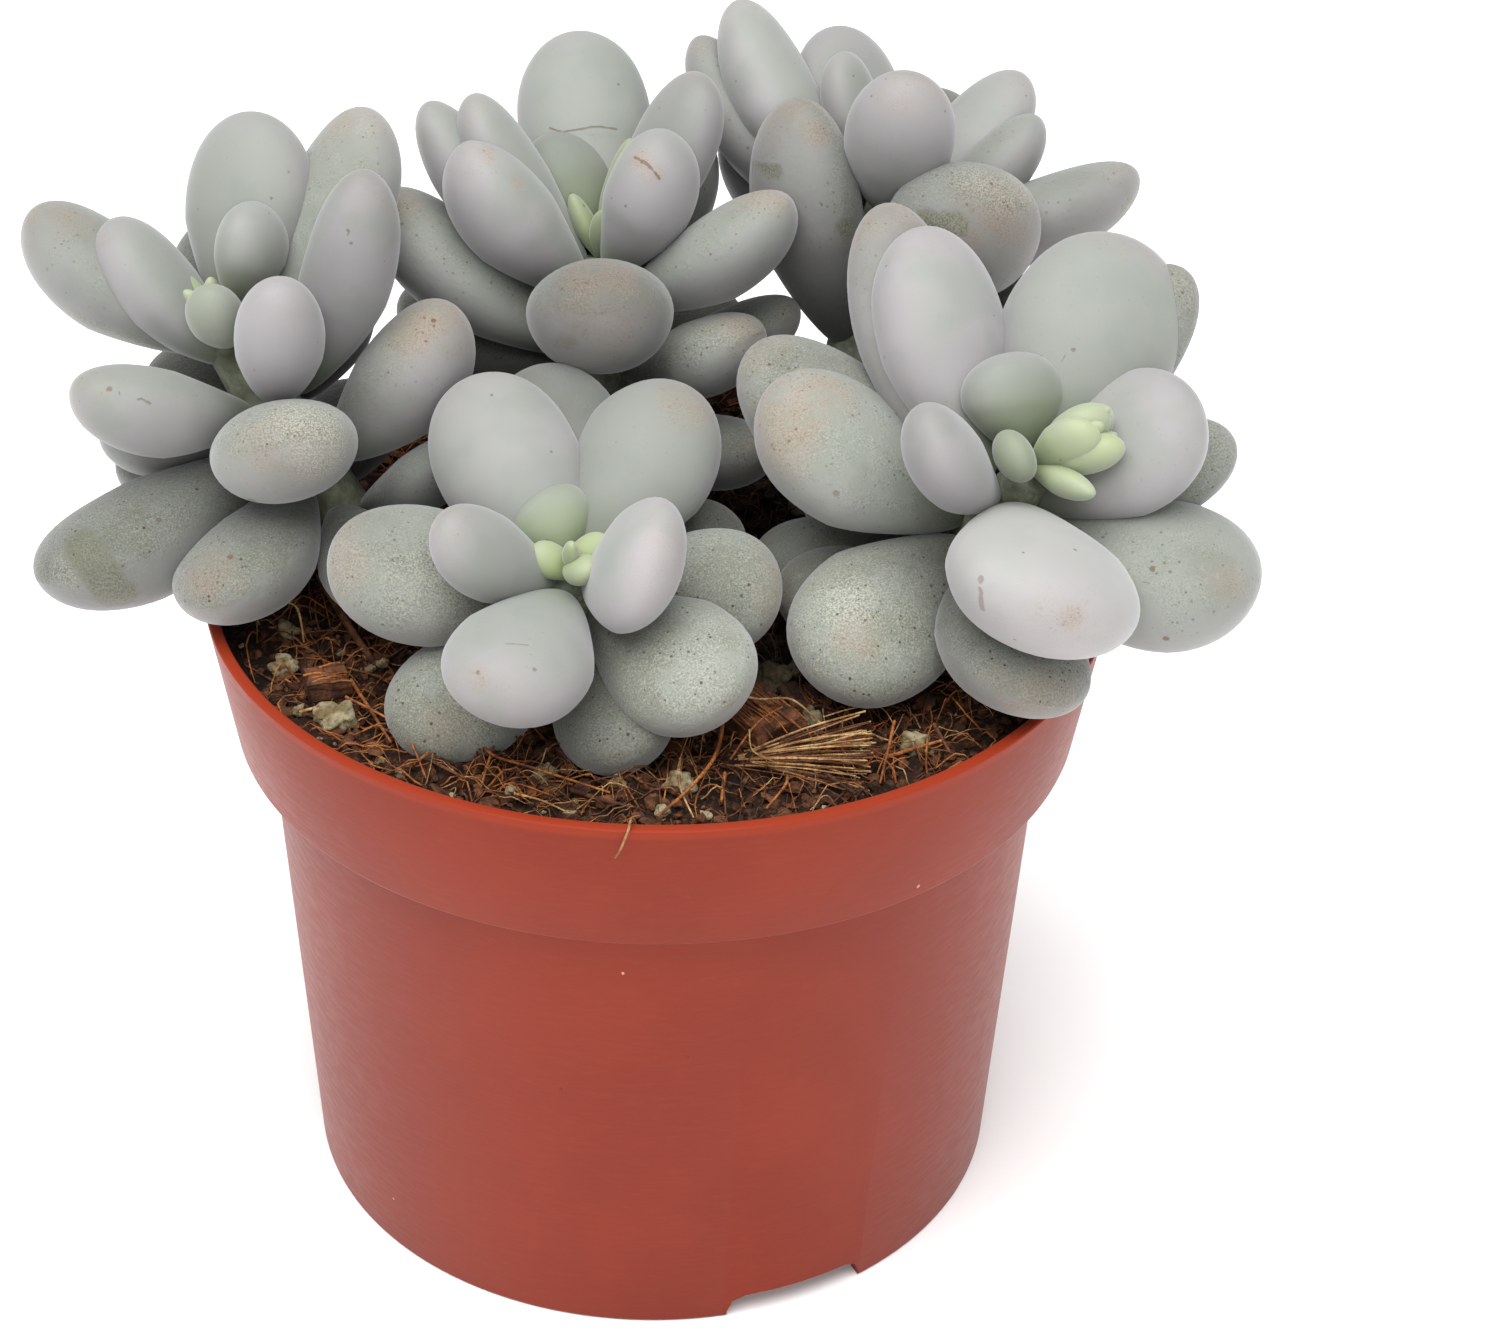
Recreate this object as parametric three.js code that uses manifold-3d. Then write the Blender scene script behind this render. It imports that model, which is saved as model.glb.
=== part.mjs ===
// A potted moonstones plant: five leafy stems of plump waxy leaves, growing in coir soil in a round
// plastic nursery pot. Millimetres, +Z up. Everything is laid out about the pot's axis, and the whole
// is set so that the middle of its footprint is at the origin, on the surface that it stands on.
import * as THREE from 'three';
import { mergeVertices } from 'three/addons/utils/BufferGeometryUtils.js';
import Module from 'manifold-3d';

const wasm = await Module();
wasm.setup();

// Where the pot's axis stands, so that the leaning plant's footprint is centred on the origin.
const POT_AXIS = new THREE.Vector3(3.5, -5.1, 0);

// The clearance that neighbouring pieces keep.
const GAP = 0.3;

// The pot, by its outer radii and heights.
const POT = {
  height: 90,
  rimRadius: 60,
  lipWidth: 1.7,
  wall: 1.2,
  bandHeight: 19.6,
  bandFootRadius: 56.7,
  bodyTopRadius: 52.5,
  footRadius: 48,
  footRingWidth: 2.2,
  floorUnderside: 3.8,
  floorTop: 5,
  lipRounding: 0.5,
  sides: 48,
};
const DRAIN_HOLES = { radius: 4, ringRadius: 28, count: 6, sides: 8 };
const FOOT_NOTCHES = { count: 3, firstCompass: -64, width: 20, height: 3.4, cornerCut: 2.5 };

// The soil's surface.
const SOIL = { edgeHeight: 86, middleHeight: 85.2, lump: 0.7, sides: 32, rings: 7 };

// Stems: thickness, and how deep each one goes into the soil.
const STEM = { radius: 4.3, depth: 15, sides: 8, steps: 5 };

// Leaf shape: how thick for its width, how much fatter its outer half is, how much its root half
// narrows, how far it sags, where it starts from the stem's middle, and its sides and rows of facets.
const LEAF_FORM = { taper: 0.2, narrowing: 0.25 };
const LEAF = { flatness: 0.7, sag: 0.04, start: 3, sides: 7, rows: 5 };
const SMALL_LEAF = { below: 18, sides: 6, rows: 4 };
const YOUNG_LEAF = { flatness: 0.8, sag: 0, start: -1, sides: 6, rows: 5 };
// Facets lie inside the round shape that they follow, so the round shape is made this much larger.
const FACET_ALLOWANCE = 1.03;

// Each stem stands at its foot in the soil and ends at its crown. A leaf is given by its distance
// down the stem from the crown, its compass direction (0 is +X, 90 is +Y), its lift above level, its
// length and its width, then its thickness where that isn't the usual share of the width, and how far
// its root sits to its side. Leaves turn their upper faces to the stem's line, or to where the stem is
// facing if that is given. The growing tip points to its own compass direction and lift, and its
// young leaves are given in the same way.
const STEMS = {
  left: {
    foot: [-36, 2, 85],
    crown: [-58, 10, 119],
    facing: [125, 70],
    leaves: [
      [3, 87, 50, 29, 18.5], [7, 57, 46, 36, 19], [14, 2, 72, 34, 12, 12, 3],
      [1, 40, 76, 15, 11.5, 9, 2.5], [8, 160, 43, 25, 15.5], [5, 160, 28, 31, 18],
      [4, -105, 58, 13, 7.5, 6.5], [13, -75, 63, 25, 11.5, 11], [14, -149, 22, 27, 14, 11.5],
      [16, -84, 25, 24, 19, 13], [18, -144, -13, 36, 20, 15], [22, -110, -8, 28, 18, 12],
      [15, 175, -8, 22, 14], [23, 14, 50, 27, 17, 14], [26, -62, -8, 22, 14], [9, 105, 20, 28, 18],
      [14, 82, 14, 28, 16], [19, 130, 0, 29, 17], [24, 165, -4, 26, 15], [26, 90, 2, 24, 15],
      [30, -12, 38, 19, 12],
    ],
    tip: [115, 74],
    young: [
      [0, 184, 30, 9.4, 4.4], [0, 206, 56, 9, 4], [-1, 160, 52, 10, 3.8], [-1, 115, 80, 7.4, 2.8],
    ],
  },
  front: {
    foot: [-8, -12, 85],
    crown: [-10, -25, 104],
    leaves: [
      [2, 121, 26, 30, 18.5], [2, 65, 24, 30, 18.5], [0, 112, 21, 12, 11], [5, -146, 38, 22, 11.5, 9],
      [3, -48, 38, 19, 17.5, 10], [2, -109, -1, 25, 18, 13], [6, -174, 12, 29, 18],
      [6, -45, -4, 26, 18], [10, -140, -17, 27, 17], [12, -75, -12, 24, 15], [9, -1, 10, 23, 17],
      [7, 102, 29, 32, 19], [12, 45, 8, 24, 15], [13, 130, 4, 26, 16], [16, 150, -2, 20, 13],
    ],
    tip: [-95, 60],
    young: [
      [-1.2, 178, 32, 7, 4.6], [-2.6, 22, 32, 7.2, 4.6], [-2.6, -58, 24, 7.2, 4.4],
      [-2.6, -80, 62, 6.9, 2.8],
    ],
  },
  centre: {
    foot: [-8, 22, 85],
    crown: [-9, 30, 121],
    leaves: [
      [2, 99, 36, 34, 18.5], [0, 113, 34, 17, 14], [7, -179, 51, 27, 15.5, 13], [5, 8, 69, 22, 14, 12],
      [2, 44, 52, 27, 14.5], [5, 160, 53, 29, 13.5], [8, 161, 46, 34, 14], [5, -88, 21, 23, 19, 15],
      [15, 166, 33, 35, 18], [8, -5, 36, 28.5, 15.5, 11.5], [17, -17, 26, 22, 15],
      [18, 12, 20, 26, 13], [8, 72, 26, 32, 17], [10, 125, 24, 32, 18], [14, 95, 8, 30, 18],
      [17, 150, 6, 30, 17], [20, 60, 4, 28, 16], [22, 118, -6, 28, 16], [24, -24, 5, 23, 14],
    ],
    tip: [70, 72],
    young: [
      [0, 55, 66, 17.5, 5.2], [0, 10, 72, 11.4, 4], [0, 150, 60, 10.4, 4], [0, -80, 74, 9.4, 3.4],
    ],
  },
  back_right: {
    foot: [22, 26, 85],
    crown: [30, 42, 124],
    leaves: [
      [4, 125, 36, 35, 14, 11, 6], [8, 133, 31, 38, 13, 10, 3.5], [23, 146, 74, 36, 18, 11],
      [3, -75, 70, 25, 14.5, 12], [3, 104, 34, 29, 17], [1, 118, 52, 20, 11], [3, 42, 31, 27, 14],
      [8, 22, 37, 27, 13], [8, 4, 20, 35, 16], [5, -43, 29, 23, 22, 18], [8, 72, 20, 31, 18],
      [10, 128, 20, 30, 17], [14, 98, 8, 31, 18], [14, 48, 10, 32, 17], [18, 15, 4, 30, 16],
      [20, 75, -6, 30, 17], [20, -20, 6, 22, 15], [27, -100, 24, 20, 14],
    ],
    tip: [90, 66],
    young: [
      [0, 20, 52, 8.4, 4.2], [0, 150, 55, 8.4, 4.2], [0, -100, 62, 7.9, 4], [-1, 80, 74, 8.4, 3],
    ],
  },
  right: {
    foot: [35, -4, 85],
    crown: [47, -13, 113],
    leaves: [
      [4, 112, 44, 34, 18, 14, 3], [8, 111, 41, 41, 16, 12, 4], [2, 59, 37, 34, 23],
      [7, 4, 33, 26, 19, 12], [0, 107, 58, 13, 14.5], [6, -133, 47, 22, 13.5], [0, -110, 50, 8, 7],
      [11, 170, 28, 31, 21], [4, -80, -1, 28, 25, 15], [9, -18, -5, 32, 23], [11, -139, -19, 29, 20.5],
      [14, -78, -8, 29, 20, 11], [9, 15, 14, 30, 14], [11, 154, 26, 36, 20], [9, 40, 40, 38, 14],
      [8, 78, 24, 30, 17], [13, 42, 6, 32, 17], [15, 85, 4, 28, 16], [18, 10, 4, 28, 15],
      [20, 130, 5, 26, 15], [20, -160, 0, 22, 14], [17, 172, -7, 25.5, 15], [22, 138, 26, 20, 13],
    ],
    tip: [18, 48],
    young: [
      [-3.5, 4, 42, 11.9, 7.4, 5.8], [-3.5, 26, 24, 12.8, 7, 5], [-3.5, -18, 22, 12.6, 6.6, 5.4],
      [-4, -16, 40, 10.9, 4, 3.4], [-4, 6, 40, 11.9, 3.4, 3], [-2, -52, 8, 12.4, 4.6, 3.8],
    ],
  },
};

// Loose pieces of the soil: where each lies, its compass direction, and its length, width and height.
const CHIPS = {
  coir_block: { at: [13.5, -29.5], compass: -52, size: [12, 8.5, 5] },
  bark_flake: { at: [19, -24.6], compass: -70, size: [6, 4.6, 2.4] },
  coir_lump: { at: [-41.5, -25.5], compass: 20, size: [6, 5, 4] },
};
const TUFT = { root: [14, -38.5], compass: -4, length: 15, fan: 46, rise: 9, fibres: 8, radius: 0.5 };
const TWIG = { from: [-44.5, -3.5], to: [-35.5, -19.5], radius: 0.8, height: 1.2, rise: 2.5 };
const PERLITE = [
  [-39.5, -33, 4.6], [15.8, -20.4, 4.2], [19.2, -17.4, 3.4], [-12.7, -42.6, 3], [4.3, -44, 3.6],
  [20.8, -29.6, 3], [33.5, -34.2, 3.4], [-47.5, -20.5, 3.2],
];

const COLOURS = {
  pot: { color: '#a34f3d', roughness: 0.45 },
  soil: { color: '#33231a', roughness: 0.95 },
  leaf: { color: '#b1b8b3', roughness: 0.7 },
  tip: { color: '#c8d8a4', roughness: 0.6 },
  coir: { color: '#7a4a2a', roughness: 0.9 },
  perlite: { color: '#cfc8b4', roughness: 0.9 },
};

const radians = THREE.MathUtils.degToRad;

// A repeatable stream of numbers from 0 to 1.
function makeDraws(seed) {
  let state = seed;
  return () => {
    state = (state * 16807) % 2147483647;
    return state / 2147483647;
  };
}

function directionOf(compass, lift) {
  const level = Math.cos(radians(lift));
  return new THREE.Vector3(
    level * Math.cos(radians(compass)), level * Math.sin(radians(compass)), Math.sin(radians(lift)));
}

// Makes a solid of a closed geometry: its corners are merged and collapsed triangles dropped.
function toSolid(geometry) {
  const bare = geometry.clone();
  for (const name of Object.keys(bare.attributes)) {
    if (name !== 'position') bare.deleteAttribute(name);
  }
  const merged = mergeVertices(bare, 1e-4);
  const corners = merged.index.array;
  const kept = [];
  for (let i = 0; i < corners.length; i += 3) {
    const [a, b, c] = [corners[i], corners[i + 1], corners[i + 2]];
    if (a !== b && b !== c && c !== a) kept.push(a, b, c);
  }
  return new wasm.Manifold(new wasm.Mesh({
    numProp: 3,
    vertProperties: Float32Array.from(merged.attributes.position.array),
    triVerts: Uint32Array.from(kept),
  }));
}

function toGeometry(solid) {
  const mesh = solid.getMesh();
  const geometry = new THREE.BufferGeometry();
  geometry.setAttribute('position', new THREE.BufferAttribute(mesh.vertProperties, 3));
  geometry.setIndex(new THREE.BufferAttribute(mesh.triVerts, 1));
  geometry.computeVertexNormals();
  return geometry;
}

function joinAll(solids) {
  return solids.reduce((whole, piece) => whole.add(piece));
}

// What is left of a cut piece, without any loose scraps.
function largestBody(solid) {
  const bodies = solid.decompose();
  return bodies.reduce((best, body) => (body.volume() > best.volume() ? body : best));
}

function makeMesh(name, solid, look) {
  const mesh = new THREE.Mesh(toGeometry(solid), new THREE.MeshStandardMaterial({ metalness: 0, ...look }));
  mesh.name = name;
  return mesh;
}

// A plump leaf as an egg with its root at s = -1 and its tip at s = +1, placed along a direction.
function eggSolid({ root, along, across, length, width, thickness, grow, sides, rows, start, sag }) {
  const up = along.clone().cross(across);
  const egg = new THREE.SphereGeometry(1, sides, rows);
  const points = egg.attributes.position;
  const place = new THREE.Vector3();
  for (let i = 0; i < points.count; i += 1) {
    const s = points.getY(i);
    const share = (1 + s) / 2;
    const fat = (1 + LEAF_FORM.taper * s) * (1 + LEAF_FORM.narrowing * Math.min(s, 0)) * FACET_ALLOWANCE;
    place.copy(root);
    place.addScaledVector(along, start + length * share + grow * s);
    place.addScaledVector(across, points.getZ(i) * (width / 2 + grow) * fat);
    place.addScaledVector(up, points.getX(i) * (thickness / 2 + grow) * fat);
    place.addScaledVector(up, -4 * sag * length * share * (1 - share));
    points.setXYZ(i, place.x, place.y, place.z);
  }
  return toSolid(egg);
}

function layOutStem({ foot, crown, facing, leaves, tip, young }) {
  const base = new THREE.Vector3(...foot);
  const top = new THREE.Vector3(...crown);
  const axis = top.clone().sub(base).normalize();
  return {
    base, top, axis, leaves, young,
    facing: facing ? directionOf(...facing) : axis,
    tip: directionOf(...tip),
  };
}

// A leaf of a stem, turned so that its upper face looks along the facing direction.
function leafSolid(stem, leaf, facing, shape, grow) {
  const [drop, compass, lift, length, width, thickness = shape.flatness * width, aside = 0] = leaf;
  const along = directionOf(compass, lift);
  const across = facing.clone().cross(along).normalize();
  const root = stem.top.clone().addScaledVector(stem.axis, -drop).addScaledVector(across, aside);
  return eggSolid({ root, along, across, length, width, thickness, grow, ...shape });
}

function grownLeafSolid(stem, leaf, grow = 0) {
  const size = leaf[3] < SMALL_LEAF.below ? SMALL_LEAF : {};
  return leafSolid(stem, leaf, stem.facing, { ...LEAF, ...size }, grow);
}

// The stem goes straight down into the soil from its foot, and straight to its crown above it.
function stemSolid(stem, grow = 0) {
  const low = stem.base.clone().setZ(stem.base.z - STEM.depth - grow);
  const middle = stem.base.clone().lerp(stem.top, 0.5);
  const path = new THREE.CatmullRomCurve3([low, stem.base, middle, stem.top]);
  const section = new THREE.Shape();
  section.absarc(0, 0, STEM.radius + grow, 0, 2 * Math.PI);
  return toSolid(new THREE.ExtrudeGeometry(section, {
    extrudePath: path, steps: STEM.steps, curveSegments: STEM.sides / 2, bevelEnabled: false,
  }));
}

function tipSolid(stem, grow = 0) {
  return joinAll(stem.young.map((leaf) => leafSolid(stem, leaf, stem.tip, YOUNG_LEAF, grow)));
}

function leafyStemSolid(stem) {
  const whole = joinAll([stemSolid(stem), ...stem.leaves.map((leaf) => grownLeafSolid(stem, leaf))]);
  return largestBody(whole.subtract(tipSolid(stem, GAP)));
}

// The pot, turned from its wall's outline, with its drain holes and foot notches cut.
function potSolid() {
  const bodyTop = POT.height - POT.bandHeight;
  const ledge = bodyTop + POT.wall;
  const outline = [
    [0, POT.floorUnderside],
    [POT.footRadius - POT.footRingWidth, POT.floorUnderside],
    [POT.footRadius - POT.footRingWidth, 0],
    [POT.footRadius, 0],
    [POT.bodyTopRadius, bodyTop],
    [POT.bandFootRadius, bodyTop],
    [POT.rimRadius, POT.height - POT.lipRounding],
    [POT.rimRadius - POT.lipRounding, POT.height],
    [POT.rimRadius - POT.lipWidth, POT.height],
    [POT.rimRadius - POT.lipWidth, POT.height - POT.lipWidth],
    [POT.bandFootRadius - POT.wall, ledge],
    [POT.bodyTopRadius - POT.wall, ledge],
    [POT.footRadius - POT.wall, POT.floorTop],
    [0, POT.floorTop],
  ].map(([r, z]) => new THREE.Vector2(r, z));
  const turned = new THREE.LatheGeometry(outline, POT.sides).rotateX(Math.PI / 2);
  let pot = toSolid(turned);
  for (let i = 0; i <= DRAIN_HOLES.count; i += 1) {
    const angle = (i * 2 * Math.PI) / DRAIN_HOLES.count;
    const reach = i === DRAIN_HOLES.count ? 0 : DRAIN_HOLES.ringRadius;
    const drill = new THREE.CylinderGeometry(DRAIN_HOLES.radius, DRAIN_HOLES.radius, 3, DRAIN_HOLES.sides);
    drill.rotateX(Math.PI / 2);
    drill.translate(
      reach * Math.cos(angle), reach * Math.sin(angle), (POT.floorUnderside + POT.floorTop) / 2);
    pot = pot.subtract(toSolid(drill));
  }
  for (let i = 0; i < FOOT_NOTCHES.count; i += 1) {
    pot = pot.subtract(notchSolid(FOOT_NOTCHES.firstCompass + (i * 360) / FOOT_NOTCHES.count));
  }
  return pot;
}

// A wide low notch with sloping ends, through the foot ring.
function notchSolid(compass) {
  const half = FOOT_NOTCHES.width / 2;
  const top = FOOT_NOTCHES.height;
  const cut = FOOT_NOTCHES.cornerCut;
  const outline = new THREE.Shape([
    new THREE.Vector2(-half, -1),
    new THREE.Vector2(half, -1),
    new THREE.Vector2(half, top - cut),
    new THREE.Vector2(half - cut, top),
    new THREE.Vector2(cut - half, top),
    new THREE.Vector2(-half, top - cut),
  ]);
  const block = new THREE.ExtrudeGeometry(outline, { depth: 12, bevelEnabled: false });
  block.rotateX(Math.PI / 2);
  block.rotateZ(Math.PI / 2);
  block.translate(POT.footRadius - 6, 0, 0);
  block.rotateZ(radians(compass));
  return toSolid(block);
}

function soilHeight(x, y) {
  const r = Math.hypot(x, y);
  const edge = THREE.MathUtils.smoothstep(r, 44, 57);
  const level = THREE.MathUtils.lerp(SOIL.middleHeight, SOIL.edgeHeight, edge);
  const waves = Math.sin(0.31 * x + 1.3) * Math.cos(0.27 * y + 0.4)
    + 0.7 * Math.sin(0.57 * x - 0.49 * y + 0.7) + 0.5 * Math.cos(0.83 * x + 0.71 * y);
  return level + SOIL.lump * waves * (1 - edge);
}

// The soil fills the pot up to a lumpy surface.
function soilFillSolid() {
  const ledge = POT.height - POT.bandHeight + POT.wall + GAP;
  const bandTopRadius = POT.rimRadius - POT.wall;
  const bandShare = (SOIL.edgeHeight - ledge) / POT.bandHeight;
  const edgeRadius = THREE.MathUtils.lerp(POT.bandFootRadius - POT.wall, bandTopRadius, bandShare) - GAP;
  const outline = [
    [0, POT.floorTop + GAP],
    [POT.footRadius - POT.wall - GAP, POT.floorTop + GAP],
    [POT.bodyTopRadius - POT.wall - GAP, ledge],
    [POT.bandFootRadius - POT.wall - GAP, ledge],
    [edgeRadius, SOIL.edgeHeight],
  ];
  for (let i = SOIL.rings - 1; i >= 0; i -= 1) outline.push([(edgeRadius * i) / SOIL.rings, SOIL.edgeHeight]);
  const fill = new THREE.LatheGeometry(outline.map(([r, z]) => new THREE.Vector2(r, z)), SOIL.sides);
  fill.rotateX(Math.PI / 2);
  const points = fill.attributes.position;
  for (let i = 0; i < points.count; i += 1) {
    const [x, y, z] = [points.getX(i), points.getY(i), points.getZ(i)];
    if (z > SOIL.edgeHeight - 1) points.setZ(i, soilHeight(x, y));
  }
  return toSolid(fill);
}

// The soil has a plain hole for each stem, and gives way under the leaves that lie on it.
function soilSolid(fill, stems) {
  let soil = fill;
  for (const stem of stems) {
    soil = soil.subtract(stemSolid(stem, GAP));
    for (const leaf of stem.leaves) soil = soil.subtract(grownLeafSolid(stem, leaf, GAP));
  }
  return largestBody(soil);
}

// Beds a loose piece in the soil's surface.
function bedded(piece, fill) {
  return largestBody(piece.subtract(fill.translate(0, 0, GAP)));
}

// A rough chip: a box whose corners are each drawn a little in or out.
function chipSolid({ at, compass, size }, draw) {
  const [length, width, height] = size;
  const box = new THREE.BoxGeometry(length, width, height, 2, 2, 1);
  const merged = mergeVertices(stripped(box), 1e-4);
  const points = merged.attributes.position;
  for (let i = 0; i < points.count; i += 1) {
    const amount = () => 1 - 0.16 * draw();
    points.setXYZ(i, points.getX(i) * amount(), points.getY(i) * amount(), points.getZ(i) * amount());
  }
  merged.rotateZ(radians(compass));
  merged.translate(at[0], at[1], soilHeight(at[0], at[1]) + 0.3 * height);
  return toSolid(merged);
}

function stripped(geometry) {
  const bare = geometry.clone();
  bare.deleteAttribute('normal');
  bare.deleteAttribute('uv');
  return bare;
}

function grainSolid([x, y, size], draw) {
  const grain = mergeVertices(stripped(new THREE.IcosahedronGeometry(size / 2, 0)), 1e-4);
  const points = grain.attributes.position;
  for (let i = 0; i < points.count; i += 1) {
    const amount = 0.8 + 0.3 * draw();
    points.setXYZ(i, points.getX(i) * amount, points.getY(i) * amount, points.getZ(i) * amount * 0.85);
  }
  grain.translate(x, y, soilHeight(x, y) + 0.22 * size);
  return toSolid(grain);
}

// A rod between two points, with flat ends.
function rodSolid(from, to, rootRadius, endRadius, sides) {
  const along = to.clone().sub(from);
  const rod = new THREE.CylinderGeometry(endRadius, rootRadius, along.length(), sides);
  const turn = new THREE.Quaternion().setFromUnitVectors(
    new THREE.Vector3(0, 1, 0), along.clone().normalize());
  rod.applyQuaternion(turn);
  const middle = from.clone().lerp(to, 0.5);
  rod.translate(middle.x, middle.y, middle.z);
  return toSolid(rod);
}

// A bundle of coir fibres, joined at the root and fanned out at its cut end.
function tuftSolid(draw) {
  const [x, y] = TUFT.root;
  const root = new THREE.Vector3(x, y, soilHeight(x, y) + 0.6);
  const fibres = [];
  for (let i = 0; i < TUFT.fibres; i += 1) {
    const share = i / (TUFT.fibres - 1) - 0.5;
    const compass = TUFT.compass + TUFT.fan * share;
    const lift = TUFT.rise + 12 * share + 8 * (draw() - 0.5);
    const start = root.clone().addScaledVector(directionOf(compass + 90, 0), 3 * share);
    const end = root.clone().addScaledVector(directionOf(compass, lift), TUFT.length * (0.9 + 0.1 * draw()));
    fibres.push(rodSolid(start, end, TUFT.radius * 1.5, TUFT.radius, 4));
  }
  return joinAll(fibres);
}

function twigSolid() {
  const from = new THREE.Vector3(...TWIG.from, soilHeight(...TWIG.from) + TWIG.height + TWIG.rise);
  const to = new THREE.Vector3(...TWIG.to, soilHeight(...TWIG.to) - TWIG.radius);
  return rodSolid(from, to, TWIG.radius, TWIG.radius * 0.7, 6);
}

const object = new THREE.Group();
object.position.copy(POT_AXIS);

const stems = Object.fromEntries(Object.entries(STEMS).map(([name, plan]) => [name, layOutStem(plan)]));
const fill = soilFillSolid();
const draw = makeDraws(4711);

object.add(makeMesh('pot', potSolid(), COLOURS.pot));
object.add(makeMesh('soil', soilSolid(fill, Object.values(stems)), COLOURS.soil));
for (const [name, stem] of Object.entries(stems)) {
  object.add(makeMesh(`leafy_stem_${name}`, leafyStemSolid(stem), COLOURS.leaf));
  object.add(makeMesh(`growing_tip_${name}`, tipSolid(stem), COLOURS.tip));
}
for (const [name, chip] of Object.entries(CHIPS)) {
  object.add(makeMesh(name, bedded(chipSolid(chip, draw), fill), COLOURS.coir));
}
object.add(makeMesh('fibre_tuft', bedded(tuftSolid(draw), fill), COLOURS.coir));
object.add(makeMesh('twig', bedded(twigSolid(), fill), COLOURS.coir));
PERLITE.forEach((grain, i) => {
  object.add(makeMesh(`perlite_grain_${i + 1}`, bedded(grainSolid(grain, draw), fill), COLOURS.perlite));
});

export default object;
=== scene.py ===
"""A potted moonstones plant: plump waxy leaves, coir soil and a terracotta-coloured nursery pot.

Shapes are worked out in millimetres about the pot's axis, and set in metres in the part's frame.
"""
import math
import random
from functools import partial

import bmesh
import bpy
from mathutils import Matrix, Vector, noise


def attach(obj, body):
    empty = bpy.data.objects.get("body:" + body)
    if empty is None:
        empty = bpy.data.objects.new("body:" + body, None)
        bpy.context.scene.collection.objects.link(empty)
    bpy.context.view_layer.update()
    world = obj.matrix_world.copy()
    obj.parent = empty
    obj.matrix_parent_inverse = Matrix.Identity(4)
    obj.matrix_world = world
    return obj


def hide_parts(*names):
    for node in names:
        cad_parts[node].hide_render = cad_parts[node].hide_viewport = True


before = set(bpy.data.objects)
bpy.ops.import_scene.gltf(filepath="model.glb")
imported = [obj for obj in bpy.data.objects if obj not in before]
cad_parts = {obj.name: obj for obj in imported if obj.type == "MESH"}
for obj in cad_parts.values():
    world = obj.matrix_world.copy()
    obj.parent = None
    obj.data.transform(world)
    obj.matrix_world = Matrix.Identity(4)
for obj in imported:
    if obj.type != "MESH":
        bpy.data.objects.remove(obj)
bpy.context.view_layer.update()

MM = 0.001
POT_AXIS = Vector((3.5, -5.1, 0))
TO_FRAME = Matrix.Scale(MM, 4) @ Matrix.Translation(POT_AXIS)

# The clearance that neighbouring pieces keep.
GAP = 0.3

# The pot, by its outer radii and heights.
POT_HEIGHT = 90
RIM_RADIUS = 60
LIP_WIDTH = 1.7
LIP_LOW = POT_HEIGHT - LIP_WIDTH
WALL = 1.2
BAND_HEIGHT = 19.6
BAND_FOOT_RADIUS = 56.7
BODY_TOP_RADIUS = 52.5
FOOT_RADIUS = 48
FOOT_RING_WIDTH = 2.2
FLOOR_UNDERSIDE = 3.8
FLOOR_TOP = 5
DRAIN_HOLE_RADIUS = 4
DRAIN_RING_RADIUS = 28
DRAIN_RING_HOLES = 6
NOTCHES = 3
FIRST_NOTCH_COMPASS = -64
NOTCH_WIDTH = 20
NOTCH_HEIGHT = 3.4
NOTCH_CORNER = 2.5

# The soil: its height at the edge and in the middle, how far from the middle loose fibres and crumbs
# may lie, and the middle of the painted shade that darkens what lies under the plant.
SOIL_EDGE_HEIGHT = 86
SOIL_MIDDLE_HEIGHT = 85.2
SOIL_WAVE = 0.7
FIBRE_START_REACH = 54
FIBRE_REACH = 56.2
CRUMB_REACH = 56.6
PAINTED_SHADE_MIDDLE = Vector((4, 8, 0))

# Stems: thickness, and how deep each one goes into the soil.
STEM_RADIUS = 4.3
STEM_DEPTH = 15

# Leaf shape: how thick for its width, how much fatter its outer half is, how much its root half
# narrows, how far it sags, and where it starts from the stem's middle. Leaves shorter than
# SMALL_LEAF_LENGTH have the smaller mesh. Meshes are given as segments round and rings along.
LEAF_FLATNESS = 0.7
YOUNG_FLATNESS = 0.8
LEAF_TAPER = 0.2
LEAF_NARROWING = 0.25
LEAF_SAG = 0.04
LEAF_START = 3
YOUNG_START = -1
YOUNG_POINT = 0.2
SMALL_LEAF_LENGTH = 18
LEAF_MESH = (48, 34)
SMALL_LEAF_MESH = (36, 24)
YOUNG_LEAF_MESH = (32, 24)

# How full a leaf's upper face and underside are against an even oval, how strong its uneven swellings
# are and how many there are to a millimetre, and between which shares of length to width a young leaf's
# tip goes from round to pointed.
UPPER_FULLNESS = 0.94
UNDERSIDE_FULLNESS = 1.04
SWELL = 0.03
SWELLS_PER_MM = 0.11
SLENDER = (1.6, 2.2)

# Between which distances a mark's strength fades, in mark radii.
MARK_FADE = (0.3, 1.35)

# How far round a scar the skin knows where it is, in millimetres, and what it is told further away,
# in scar radii.
SCAR_REACH = 2.5
NO_SCAR = Vector((9, 9, 9))

# A whole turn in radians, near enough for a random one, and how many small things are made at a time.
FULL_TURN = 6.28
BATCH = 60

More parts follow.
